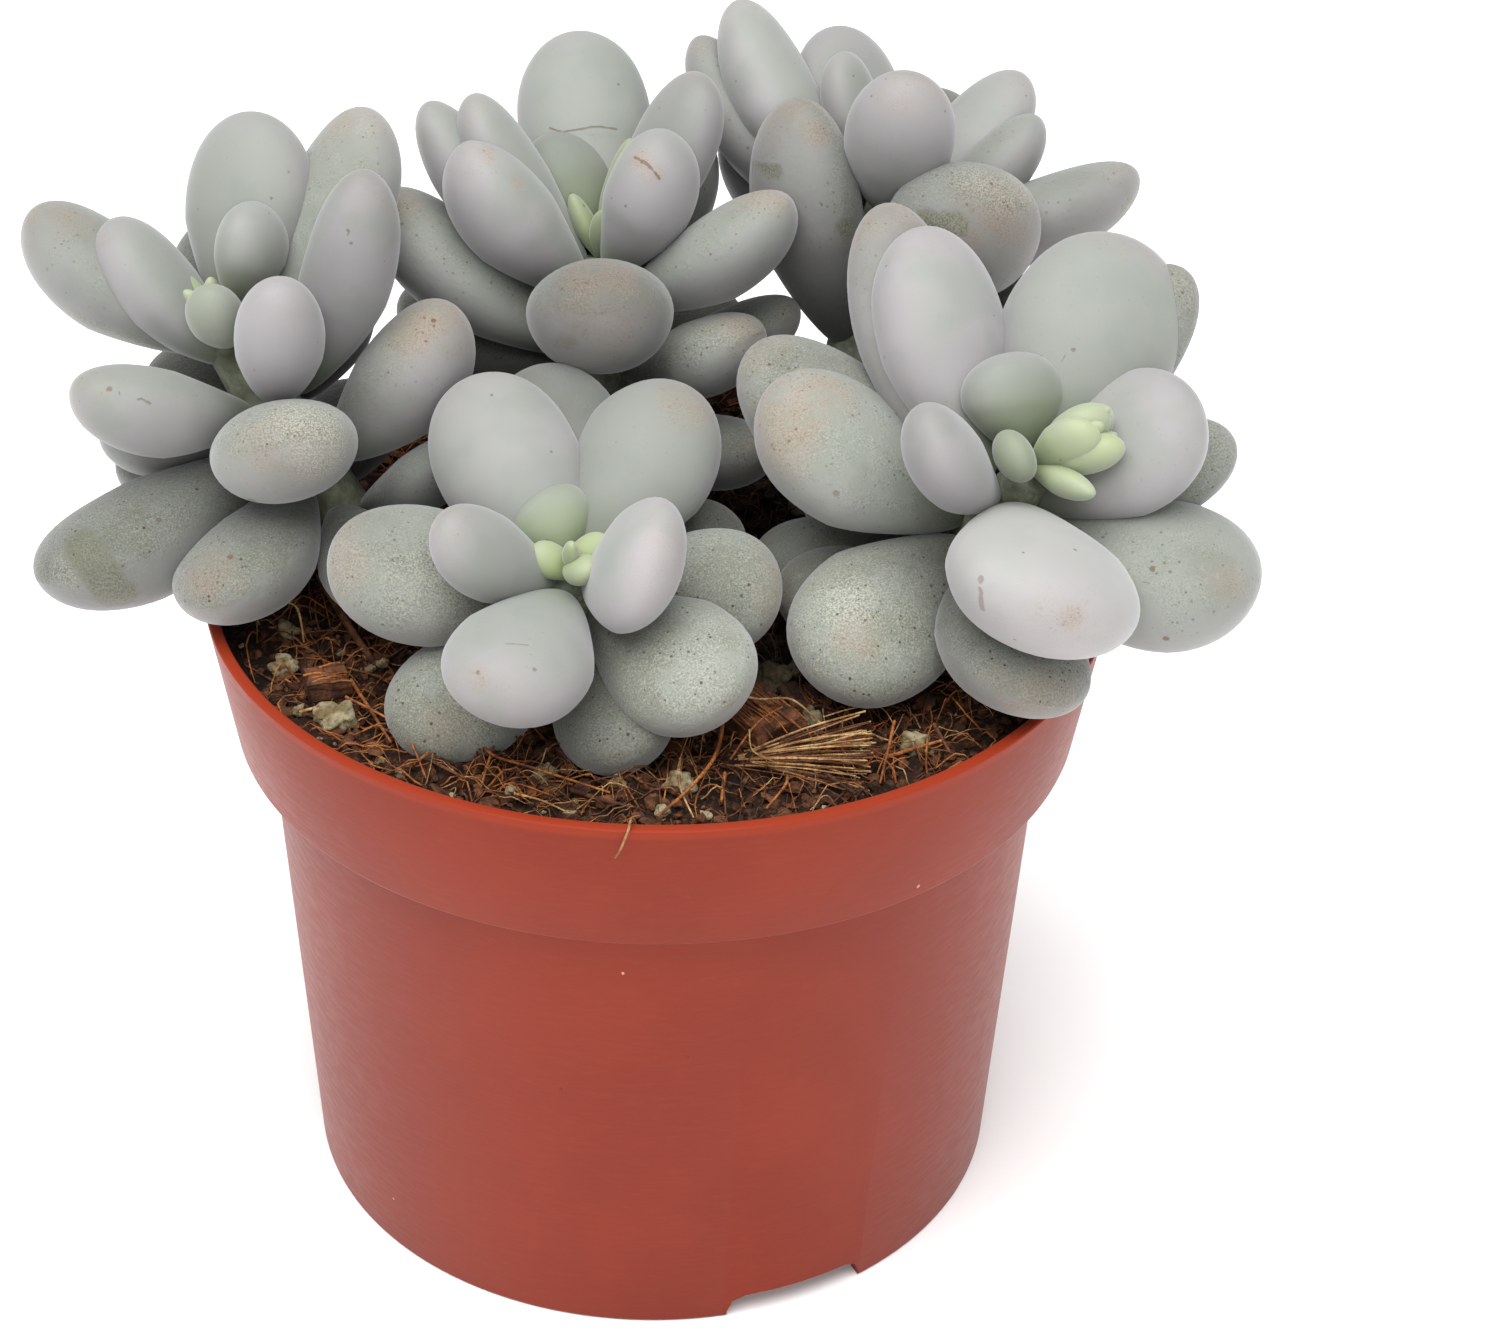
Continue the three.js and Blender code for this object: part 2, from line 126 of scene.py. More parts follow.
# How each stem stands: its foot in the soil, its crown, which way its rosette faces where that isn't
# along the stem, and its growing tip's compass direction and lift. A leaf is given by its distance
# below the crown, compass direction, lift, length and width, then its thickness where that isn't the
# usual share of the width, and how far its root sits to its side.
STEMS = {
    "left": {
        "foot": (-36, 2, 85),
        "crown": (-58, 10, 119),
        "facing": (125, 70),
        "leaves": [
            (3, 87, 50, 29, 18.5), (7, 57, 46, 36, 19), (14, 2, 72, 34, 12, 12, 3),
            (1, 40, 76, 15, 11.5, 9, 2.5), (8, 160, 43, 25, 15.5), (5, 160, 28, 31, 18),
            (4, -105, 58, 13, 7.5, 6.5), (13, -75, 63, 25, 11.5, 11), (14, -149, 22, 27, 14, 11.5),
            (16, -84, 25, 24, 19, 13), (18, -144, -13, 36, 20, 15), (22, -110, -8, 28, 18, 12),
            (15, 175, -8, 22, 14), (23, 14, 50, 27, 17, 14), (26, -62, -8, 22, 14),
            (9, 105, 20, 28, 18), (14, 82, 14, 28, 16), (19, 130, 0, 29, 17), (24, 165, -4, 26, 15),
            (26, 90, 2, 24, 15), (30, -12, 38, 19, 12),
        ],
        "tip": (115, 74),
        "young": [
            (0, 184, 30, 9.4, 4.4), (0, 206, 56, 9, 4), (-1, 160, 52, 10, 3.8),
            (-1, 115, 80, 7.4, 2.8),
        ],
    },
    "front": {
        "foot": (-8, -12, 85),
        "crown": (-10, -25, 104),
        "leaves": [
            (2, 121, 26, 30, 18.5), (2, 65, 24, 30, 18.5), (0, 112, 21, 12, 11),
            (5, -146, 38, 22, 11.5, 9), (3, -48, 38, 19, 17.5, 10), (2, -109, -1, 25, 18, 13),
            (6, -174, 12, 29, 18), (6, -45, -4, 26, 18), (10, -140, -17, 27, 17),
            (12, -75, -12, 24, 15), (9, -1, 10, 23, 17), (7, 102, 29, 32, 19), (12, 45, 8, 24, 15),
            (13, 130, 4, 26, 16), (16, 150, -2, 20, 13),
        ],
        "tip": (-95, 60),
        "young": [
            (-1.2, 178, 32, 7, 4.6), (-2.6, 22, 32, 7.2, 4.6), (-2.6, -58, 24, 7.2, 4.4),
            (-2.6, -80, 62, 6.9, 2.8),
        ],
    },
    "centre": {
        "foot": (-8, 22, 85),
        "crown": (-9, 30, 121),
        "leaves": [
            (2, 99, 36, 34, 18.5), (0, 113, 34, 17, 14), (7, -179, 51, 27, 15.5, 13),
            (5, 8, 69, 22, 14, 12), (2, 44, 52, 27, 14.5), (5, 160, 53, 29, 13.5),
            (8, 161, 46, 34, 14), (5, -88, 21, 23, 19, 15), (15, 166, 33, 35, 18),
            (8, -5, 36, 28.5, 15.5, 11.5), (17, -17, 26, 22, 15), (18, 12, 20, 26, 13),
            (8, 72, 26, 32, 17), (10, 125, 24, 32, 18), (14, 95, 8, 30, 18), (17, 150, 6, 30, 17),
            (20, 60, 4, 28, 16), (22, 118, -6, 28, 16), (24, -24, 5, 23, 14),
        ],
        "tip": (70, 72),
        "young": [
            (0, 55, 66, 17.5, 5.2), (0, 10, 72, 11.4, 4), (0, 150, 60, 10.4, 4),
            (0, -80, 74, 9.4, 3.4),
        ],
    },
    "back_right": {
        "foot": (22, 26, 85),
        "crown": (30, 42, 124),
        "leaves": [
            (4, 125, 36, 35, 14, 11, 6), (8, 133, 31, 38, 13, 10, 3.5), (23, 146, 74, 36, 18, 14),
            (3, -75, 70, 25, 14.5, 12), (3, 104, 34, 29, 17), (1, 118, 52, 20, 11),
            (3, 42, 31, 27, 14), (8, 22, 37, 27, 13), (8, 4, 20, 35, 16), (5, -43, 29, 23, 22, 18),
            (8, 72, 20, 31, 18), (10, 128, 20, 30, 17), (14, 98, 8, 31, 18), (14, 48, 10, 32, 17),
            (18, 15, 4, 30, 16), (20, 75, -6, 30, 17), (20, -20, 6, 22, 15), (27, -100, 24, 20, 14),
        ],
        "tip": (90, 66),
        "young": [
            (0, 20, 52, 8.4, 4.2), (0, 150, 55, 8.4, 4.2), (0, -100, 62, 7.9, 4), (-1, 80, 74, 8.4, 3),
        ],
    },
    "right": {
        "foot": (35, -4, 85),
        "crown": (47, -13, 113),
        "leaves": [
            (4, 112, 44, 34, 18, 14, 3), (8, 111, 41, 41, 16, 12, 4), (2, 59, 37, 34, 23),
            (7, 4, 33, 26, 19, 12), (0, 107, 58, 13, 14.5), (6, -133, 47, 22, 13.5),
            (0, -110, 50, 8, 7), (11, 170, 28, 31, 21), (4, -80, -1, 28, 25, 15), (9, -18, -5, 32, 23),
            (11, -139, -19, 29, 20.5), (14, -78, -8, 29, 20, 11), (9, 15, 14, 30, 14),
            (11, 154, 26, 36, 20), (9, 40, 40, 38, 14), (8, 78, 24, 30, 17), (13, 42, 6, 32, 17),
            (15, 85, 4, 28, 16), (18, 10, 4, 28, 15), (20, 130, 5, 26, 15), (20, -160, 0, 22, 14),
            (17, 172, -7, 25.5, 15), (22, 138, 26, 20, 13),
        ],
        "tip": (18, 48),
        "young": [
            (-3.5, 4, 42, 11.9, 7.4, 5.8), (-3.5, 26, 24, 12.8, 7, 5), (-3.5, -18, 22, 12.6, 6.6, 5.4),
            (-4, -16, 40, 10.9, 4, 3.4), (-4, 6, 40, 11.9, 3.4, 3), (-2, -52, 8, 12.4, 4.6, 3.8),
        ],
    },
}

# How worn each leaf is, in the order of its stem's leaves: 0 is young and smooth, 1 is old and crusted,
# and below 0 is paler than the rest.
WEAR = {
    "left": (0.05, 0.45, 0.05, 0, 0.05, 0.4, 0, 0.05, 0.1, 0.8, 0.95, 0.8, 0.8, 0.5, 0.9, 0.6, 0.8, 0.9,
             0.9, 0.9, 0.7),
    "front": (0, 0.1, 0, 0, 0, 0.1, 0.6, 0.8, 0.85, 0.9, 0.8, 0.4, 0.8, 0.8, 0.9),
    "centre": (0.05, 0, 0.1, 0.1, 0, 0, 0.1, 0.62, 0.5, 0.5, 0.85, 0.85, 0.4, 0.5, 0.8, 0.8, 0.9, 0.9, 0.8),
    "back_right": (0, 0.4, 0.85, 0.15, 0.1, 0, 0.1, 0.3, 0.4, 0.7, 0.5, 0.6, 0.8, 0.7, 0.8, 0.9, 0.9,
                   0.8),
    "right": (0, 0.4, 0.1, 0.1, 0, 0, 0, 0.55, -0.3, 0.5, 0.85, 0.9, 0.8, 0.8, 0.7, 0.4, 0.6, 0.8, 0.8,
              0.9, 0.9, 0.8, 0.5),
}

# How light each stem's leaves are, and the leaves that differ, by their number from 1: partly their own
# tone, partly painted shade on leaves that lie under others and painted light on ones that catch more.
STEM_TONES = {"left": 0.56, "front": 0.57, "centre": 0.58, "back_right": 0.54, "right": 0.54}
# The leaves from this number on sit low between the stems, and are darkened with painted shade.
FIRST_LOW_LEAF = {"left": 16, "front": 12, "centre": 13, "back_right": 11, "right": 16}
LOW_LEAF_SHADE = 0.62
LEAF_TONES_AND_SHADE = {
    ("left", 2): 1.15, ("left", 3): 0.9, ("left", 6): 0.92, ("left", 8): 1.05, ("left", 11): 0.72,
    ("left", 12): 0.82,
    ("front", 2): 0.94, ("front", 5): 1.15, ("front", 6): 1.04, ("front", 7): 0.98, ("front", 8): 1.25,
    ("front", 10): 0.7,
    ("centre", 2): 0.75, ("centre", 3): 1.05, ("centre", 5): 0.85, ("centre", 8): 0.66,
    ("centre", 9): 1.15, ("centre", 12): 0.6,
    ("back_right", 1): 1.15, ("back_right", 3): 0.85, ("back_right", 4): 1.05, ("back_right", 7): 1.1,
    ("back_right", 10): 0.86,
    ("right", 1): 1.12, ("right", 3): 1.08, ("right", 4): 1.12, ("right", 8): 1.2, ("right", 9): 1.12,
    ("right", 10): 1.08, ("right", 11): 1.25, ("right", 12): 0.78,
}
# How green single leaves are (below 0, how lilac), and how light each growing tip is.
GREENNESS = {
    ("left", 3): -0.3, ("left", 4): 0.5, ("left", 7): 1.0, ("left", 8): -0.5, ("left", 14): -0.2,
    ("front", 1): -0.3, ("front", 3): 0.9, ("front", 4): -0.2, ("front", 5): -0.5, ("front", 6): -0.2,
    ("centre", 2): 0.75, ("centre", 3): -0.3, ("centre", 4): -0.5, ("centre", 5): -0.2,
    ("centre", 8): -0.1, ("back_right", 4): -0.2, ("back_right", 5): -0.4, ("back_right", 7): -0.4,
    ("right", 1): -0.7, ("right", 2): -0.5, ("right", 4): -0.8, ("right", 5): 0.7, ("right", 6): -0.8,
    ("right", 7): 1.2, ("right", 9): -0.3,
}
YOUNG_TONES = {"left": 0.78, "front": 0.72, "centre": 0.58, "back_right": 0.68, "right": 0.76}
# Smaller leaves folded into a growing tip, given like its other leaves.
FOLDED = {
    "right": [
        (-3.4, -33, 44, 11.4, 6.8, 4.6), (-3.8, 12, 33, 11.6, 4.4, 3.4), (-3.8, -4, 24, 11.4, 3.4, 2.8),
    ],
}

# Marks on single leaves: the kind, its strength, its radius in millimetres, and the places that it runs
# through, each by its share along the leaf and degrees round it (90 is the middle of the upper face).
MARKS = {
    ("left", 2): [("tan", 0.5, 4, (0.92, 100))],
    ("left", 3): [("scar", 0.6, 0.25, (0.82, 197)), ("scar", 0.5, 0.2, (0.78, 205))],
    ("left", 6): [("rub", 0.6, 2.2, (0.55, 325), (0.44, 325), (0.3, 325)), ("tan", 0.6, 4, (0.83, 64))],
    ("left", 9): [("scar", 0.6, 0.3, (0.9, 20)), ("scar", 0.5, 0.14, (0.79, 8), (0.74, 14), (0.72, 6))],
    ("left", 10): [("dust", 0.9, 5, (0.9, 60), (0.9, 330)), ("scar", 0.8, 0.7, (0.71, 237))],
    ("left", 11): [("rub", 0.85, 3.4, (0.84, 46), (0.84, 4), (0.81, 330)), ("dust", 0.8, 3, (0.93, 20)),
                   ("scar", 0.9, 0.8, (0.25, 81)),
                   ("scar", 0.7, 0.35, (0.48, 96), (0.5, 90)), ("scar", 0.6, 0.4, (0.57, 30))],
    ("left", 12): [("tan", 0.8, 4.5, (0.9, 90)), ("scar", 0.7, 0.4, (0.8, 70))],
    ("left", 14): [("tan", 0.9, 5.5, (0.89, 150)), ("scar", 0.9, 0.3, (0.93, 160))],
    ("front", 2): [("tan", 0.7, 5, (0.85, 114))],
    ("front", 6): [("tan", 0.7, 1.8, (0.97, 119)), ("scar", 0.6, 0.25, (0.95, 114)),
                   ("scar", 0.4, 0.12, (0.79, 94), (0.74, 74)), ("scar", 0.5, 0.22, (0.84, 55))],
    ("front", 7): [("tan", 0.5, 3.5, (0.92, 70)), ("dust", 0.6, 6, (0.6, 60), (0.4, 60))],
    ("front", 9): [("tan", 0.5, 4, (0.8, 60)), ("dust", 0.7, 5, (0.6, 60))],
    ("centre", 1): [("scar", 0.6, 0.14, (0.51, 53), (0.48, 63), (0.48, 81), (0.49, 94), (0.48, 114)),
                    ("rub", 0.35, 1.2, (0.485, 55), (0.46, 84), (0.46, 112))],
    ("centre", 3): [("tan", 0.8, 1.7, (0.92, 39)), ("tan", 0.6, 1.3, (0.74, 36))],
    ("centre", 4): [("scar", 0.7, 0.18, (0.85, 156), (0.86, 183), (0.81, 208)),
                    ("tan", 0.7, 1.6, (0.86, 165), (0.83, 195))],
    ("centre", 8): [("tan", 0.95, 6, (0.86, 86)), ("rub", 0.5, 3, (0.97, 224), (0.9, 230))],
    ("centre", 9): [("tan", 0.8, 3.5, (0.92, 51))],
    ("centre", 10): [("tan", 0.9, 4.5, (0.93, 94))],
    ("centre", 11): [("tan", 0.9, 5, (0.93, 90))],
    ("back_right", 3): [("tan", 0.8, 2.6, (0.91, 354)), ("rub", 0.7, 1.5, (0.79, 258), (0.79, 298)),
                        ("rub", 0.8, 2.2, (0.54, 4))],
    ("back_right", 9): [("rub", 0.7, 2.2, (0.91, 232))],
    ("back_right", 10): [("dust", 0.9, 3.5, (0.91, 124), (0.98, 126), (0.97, 56)),
                         ("rub", 0.8, 2.4, (0.76, 190), (0.89, 198))],
    ("right", 3): [("scar", 0.5, 0.3, (0.43, 78)), ("rub", 0.5, 1.0, (0.67, 75))],
    ("right", 8): [("tan", 0.75, 4.4, (0.84, 24), (0.86, 62), (0.79, 102)), ("scar", 0.5, 0.4, (0.56, 20))],
    ("right", 9): [("scar", 0.45, 0.42, (0.795, 164), (0.81, 168)),
                   ("scar", 0.45, 0.36, (0.84, 182), (0.85, 190), (0.855, 198)),
                   ("tan", 0.7, 2.2, (0.99, 95)), ("scar", 0.7, 0.16, (0.74, 122)),
                   ("scar", 0.8, 0.2, (0.67, 87))],
    ("right", 10): [("scar", 0.8, 0.35, (0.6, 126)), ("scar", 0.8, 0.4, (0.72, 184)),
                    ("tan", 0.6, 3, (0.89, 123))],
    ("right", 11): [("tan", 0.6, 3.4, (0.8, 82)), ("dust", 0.7, 4, (0.7, 110))],
    ("right", 12): [("dust", 0.5, 4, (0.8, 60))],
}


# Shapes.


def direction(compass, lift):
    """The unit vector with a compass direction, anticlockwise from +X, and a lift above the level."""
    level = math.cos(math.radians(lift))
    return Vector((
        level * math.cos(math.radians(compass)),
        level * math.sin(math.radians(compass)),
        math.sin(math.radians(lift)),
    ))


def smoothstep(value, low, high):
    """Goes softly from 0 at the low value to 1 at the high one."""
    share = min(max((value - low) / (high - low), 0), 1)
    return share * share * (3 - 2 * share)


def mix(a, b, share):
    return a + (b - a) * share


def in_scene(name, data):
    """Puts a mesh, a curve, a light or a camera in the scene, as an object at the origin."""
    made = bpy.data.objects.new(name, data)
    bpy.context.scene.collection.objects.link(made)
    return made


def mesh_of(name, bm):
    """Turns a bmesh into a mesh, and frees the bmesh."""
    mesh = bpy.data.meshes.new(name)
    bm.to_mesh(mesh)
    bm.free()
    return mesh


def piece_of_mesh(name, mesh, replaces):
    """Makes a finished mesh a piece of the part."""
    made = in_scene(name, mesh)
    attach(made, "root")
    if replaces:
        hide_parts(*replaces)
    return made


def piece(name, bm, materials, replaces=(), smooth=True):
    """Makes a finished piece of a mesh that was shaped in millimetres about the pot's axis."""
    bmesh.ops.recalc_face_normals(bm, faces=bm.faces)
    bmesh.ops.transform(bm, matrix=TO_FRAME, verts=bm.verts)
    for face in bm.faces:
        face.smooth = smooth
    mesh = mesh_of(name, bm)
    for material in materials:
        mesh.materials.append(material)
    return piece_of_mesh(name, mesh, replaces)


def soil_height(x, y):
    """The soil's even surface: low waves in the middle that die out towards the pot's wall."""
    edge = smoothstep(math.hypot(x, y), 44, 57)
    level = mix(SOIL_MIDDLE_HEIGHT, SOIL_EDGE_HEIGHT, edge)
    waves = (
        math.sin(0.31 * x + 1.3) * math.cos(0.27 * y + 0.4)
        + 0.7 * math.sin(0.57 * x - 0.49 * y + 0.7)
        + 0.5 * math.cos(0.83 * x + 0.71 * y)
    )
    return level + SOIL_WAVE * waves * (1 - edge)


class Stem:
    """A stem's line, the way its rosette faces and the way its growing tip points."""

    def __init__(self, plan):
        self.base = Vector(plan["foot"])
        self.top = Vector(plan["crown"])
        self.axis = (self.top - self.base).normalized()
        self.facing = direction(*plan["facing"]) if "facing" in plan else self.axis
        self.tip = direction(*plan["tip"])


class LeafShape:
    """Where a leaf lies and how its surface runs, from its root at s = -1 to its tip at s = +1."""

    def __init__(self, stem, row, facing, flatness, start, sag):
        drop, compass, lift, self.length, self.width, *rest = row
        self.thickness = rest[0] if rest else flatness * self.width
        aside = rest[1] if len(rest) > 1 else 0
        self.along = direction(compass, lift)
        self.across = facing.cross(self.along).normalized()
        self.up = self.along.cross(self.across)
        self.root = stem.top - stem.axis * drop + self.across * aside
        self.start = start
        self.sag = sag
        self.pointed = 0

    def point(self, s, sideways, upward):
        """The point at s along the leaf, and at shares of its half width and half thickness."""
        share = (1 + s) / 2
        fat = (1 + LEAF_TAPER * s) * (1 + LEAF_NARROWING * min(s, 0))
        fat *= 1 - self.pointed * max(s, 0) ** 1.5
        fullness = UPPER_FULLNESS if upward > 0 else UNDERSIDE_FULLNESS
        sunk = 4 * self.sag * self.length * share * (1 - share)
        rise = upward * self.thickness / 2 * fat * fullness - sunk
        return (
            self.root
            + self.along * (self.start + self.length * share)
            + self.across * (sideways * self.width / 2 * fat)
            + self.up * rise
        )

    def place(self, share, turn):
        """The place on the skin at a share of the length and so many degrees round."""
        s = 2 * share - 1
        r = math.sqrt(max(1 - s * s, 0))
        return self.point(s, r * math.cos(math.radians(turn)), r * math.sin(math.radians(turn)))


def nearest(point, path):
    """The point of a path of points that lies nearest."""
    best = path[0]
    for a, b in zip(path, path[1:]):
        run = b - a
        share = min(max((point - a).dot(run) / run.length_squared, 0), 1)
        on_run = a + run * share
        if (point - on_run).length < (point - best).length:
            best = on_run
    return best


def make_leaf(shape, age, seed, tone_and_shade, greenness, marks, segments, rings):
    """One leaf as a mesh of its own, with what its skin needs to know kept on its points."""
    bm = leaf_mesh()
    place = bm.verts.layers.float_vector["leaf_place"]
    kept_kind = bm.verts.layers.float_vector["leaf_kind"]
    wear = bm.verts.layers.float_vector["leaf_wear"]
    scar = bm.verts.layers.float_vector["leaf_scar"]
    scar_near = bm.verts.layers.float_vector["leaf_scar_near"]
    made = bmesh.ops.create_uvsphere(bm, u_segments=segments, v_segments=rings, radius=1)["verts"]
    hit = [(kind, strength, radius, [shape.place(*spot) for spot in spots])
           for kind, strength, radius, *spots in marks]
    for vert in made:
        upward, sideways, s = vert.co
        r = math.sqrt(max(1 - s * s, 0))
        point = shape.point(s, sideways, upward)
        middle = shape.point(s, 0, 0)
        amounts = {"rub": 0, "tan": 0, "dust": 0}
        off = NO_SCAR
        near = 0
        strongest = 0
        for kind, strength, radius, path in hit:
            away = point - nearest(point, path)
            if kind == "scar":
                if 1 - away.length / SCAR_REACH > near:
                    near = 1 - away.length / SCAR_REACH
                    off = away / radius
                    strongest = strength
            else:
                amount = strength * (1 - smoothstep(away.length / radius, *MARK_FADE))
                amounts[kind] = max(amounts[kind], amount)
        swell = noise.noise(point * SWELLS_PER_MM + Vector((10 * seed, 0, 0))) * SWELL
        vert.co = point + (point - middle) * swell
        vert[place] = ((1 + s) / 2, upward / r if r > 0.001 else 0, 0)
        vert[kept_kind] = (age, seed, tone_and_shade)
        vert[wear] = (amounts["rub"], amounts["tan"], amounts["dust"])
        vert[scar] = off
        vert[scar_near] = (near, strongest, greenness)
    return bm


def leaf_mesh():
    """An empty mesh with the layers that a leaf's skin reads."""
    bm = bmesh.new()
    for layer in ("leaf_place", "leaf_kind", "leaf_wear", "leaf_scar", "leaf_scar_near"):
        bm.verts.layers.float_vector.new(layer)
    return bm


def add_tube(bm, path, radii, sides):
    """Adds a closed tube along a path of points."""
    ring = None
    for i, (point, radius) in enumerate(zip(path, radii)):
        ahead = path[min(i + 1, len(path) - 1)] - path[max(i - 1, 0)]
        turn = ahead.to_track_quat("Z", "Y").to_matrix().to_4x4()
        matrix = Matrix.Translation(point) @ turn
        added = bmesh.ops.create_circle(bm, cap_ends=i in (0, len(path) - 1), segments=sides,
                                        radius=radius, matrix=matrix)["verts"]
        if ring:
            edges = [e for v in ring for e in v.link_edges if e.other_vert(v) in ring]
            edges += [e for v in added for e in v.link_edges if e.other_vert(v) in added]
            bmesh.ops.bridge_loops(bm, edges=list(dict.fromkeys(edges)))
        ring = added


# Materials.


def put(tree, kind, inputs=None, **settings):
    """Adds a node. An input is given by name or number, as a value or as another node's output."""
    made = tree.nodes.new(kind)
    for key, value in settings.items():
        setattr(made, key, value)
    for key, value in (inputs or {}).items():
        if isinstance(value, bpy.types.NodeSocket):
            tree.links.new(value, made.inputs[key])
        else:
            made.inputs[key].default_value = value
    return made


def calc(tree, operation, a, b=0.0, clamp=False):
    """One step of arithmetic on two values; clamp keeps what comes out from 0 to 1."""
    return put(tree, "ShaderNodeMath", {0: a, 1: b}, operation=operation, use_clamp=clamp).outputs[0]


def span(tree, value, low, high, to_low=0.0, to_high=1.0, kind="SMOOTHSTEP"):
    """Takes a value from one range to another, and stops at the ends."""
    inputs = {"Value": value, "From Min": low, "From Max": high, "To Min": to_low, "To Max": to_high}
    return put(tree, "ShaderNodeMapRange", inputs, interpolation_type=kind).outputs[0]


def blend(tree, share, a, b, kind="MIX"):
    """Goes from colour a to colour b by a share."""
    made = put(tree, "ShaderNodeMix", {0: share, 6: a, 7: b}, data_type="RGBA", blend_type=kind)
    return made.outputs[2]


def grain(tree, where, scale, detail=2.0, roughness=0.5):
    """A cloudy pattern, from 0 to 1, with about so many clouds to a millimetre."""
    inputs = {"Vector": where, "Scale": scale, "Detail": detail, "Roughness": roughness}
    return put(tree, "ShaderNodeTexNoise", inputs).outputs["Fac"]


def in_millimetres(tree):
    """The place on the piece, in millimetres."""
    place = put(tree, "ShaderNodeTexCoord").outputs["Object"]
    return put(tree, "ShaderNodeVectorMath", {0: place, "Scale": 1000.0}, operation="SCALE").outputs[0]


def parts_of(tree, name):
    """The three numbers kept on the mesh's points under a name."""
    kept = put(tree, "ShaderNodeAttribute", attribute_name=name)
    return put(tree, "ShaderNodeSeparateXYZ", {0: kept.outputs["Vector"]}).outputs


def new_group(name, inputs, outputs):
    group = bpy.data.node_groups.new(name, "ShaderNodeTree")
    for key, kind, value in inputs:
        socket = group.interface.new_socket(name=key, in_out="INPUT", socket_type="NodeSocket" + kind)
        if value is not None:
            socket.default_value = value
    for key, kind in outputs:
        group.interface.new_socket(name=key, in_out="OUTPUT", socket_type="NodeSocket" + kind)
    return group, group.nodes.new("NodeGroupInput").outputs, group.nodes.new("NodeGroupOutput").inputs


def new_material(name, roughness=0.6, **constants):
    """A material with its shader; numbers that are the same all over sit on the shader itself."""
    material = bpy.data.materials.new(name)
    material.use_nodes = True
    tree = material.node_tree
    shader = tree.nodes["Principled BSDF"]
    shader.inputs["Roughness"].default_value = roughness
    for key, value in constants.items():
        shader.inputs[key.replace("_", " ")].default_value = value
    return material, tree, shader


def bumped(tree, shader, height, distance):
    bump = put(tree, "ShaderNodeBump", {"Height": height, "Distance": distance})
    tree.links.new(bump.outputs["Normal"], shader.inputs["Normal"])


def colour(r, g, b):
    """A colour from its screen values out of 255."""
    def straight(value):
        value /= 255
        return value / 12.92 if value <= 0.04045 else ((value + 0.055) / 1.055) ** 2.4
    return (straight(r), straight(g), straight(b), 1)


def make_speck_group():
    """Small round specks scattered at random, with their own sizes, and a mask for each."""
    group, given, out = new_group(
        "scattered_specks",
        [("Place", "Vector", None), ("Per millimetre", "Float", 1.0), ("Size", "Float", 0.15),
         ("Share", "Float", 0.3)],
        [("Mask", "Float")])
    cells = put(group, "ShaderNodeTexVoronoi", {"Vector": given["Place"], "Scale": given["Per millimetre"]})
    drawn = put(group, "ShaderNodeSeparateColor", {0: cells.outputs["Color"]}).outputs
    chosen = calc(group, "LESS_THAN", drawn["Red"], given["Share"])
    size = calc(group, "MULTIPLY", given["Size"], span(group, drawn["Green"], 0, 1, 0.5, 1.3, "LINEAR"))
    wobble = grain(group, given["Place"], 6.0)
    distance = calc(group, "ADD", cells.outputs["Distance"], calc(group, "MULTIPLY", wobble, 0.1))
    inside = calc(group, "LESS_THAN", distance, calc(group, "ADD", size, 0.05))
    group.links.new(calc(group, "MULTIPLY", chosen, inside), out["Mask"])
    return group


specks = make_speck_group()


def specked(tree, where, per_millimetre, size, share):
    """A mask of scattered specks."""
    inputs = {"Place": where, "Per millimetre": per_millimetre, "Size": size, "Share": share}
    return put(tree, "ShaderNodeGroup", inputs, node_tree=specks).outputs[0]


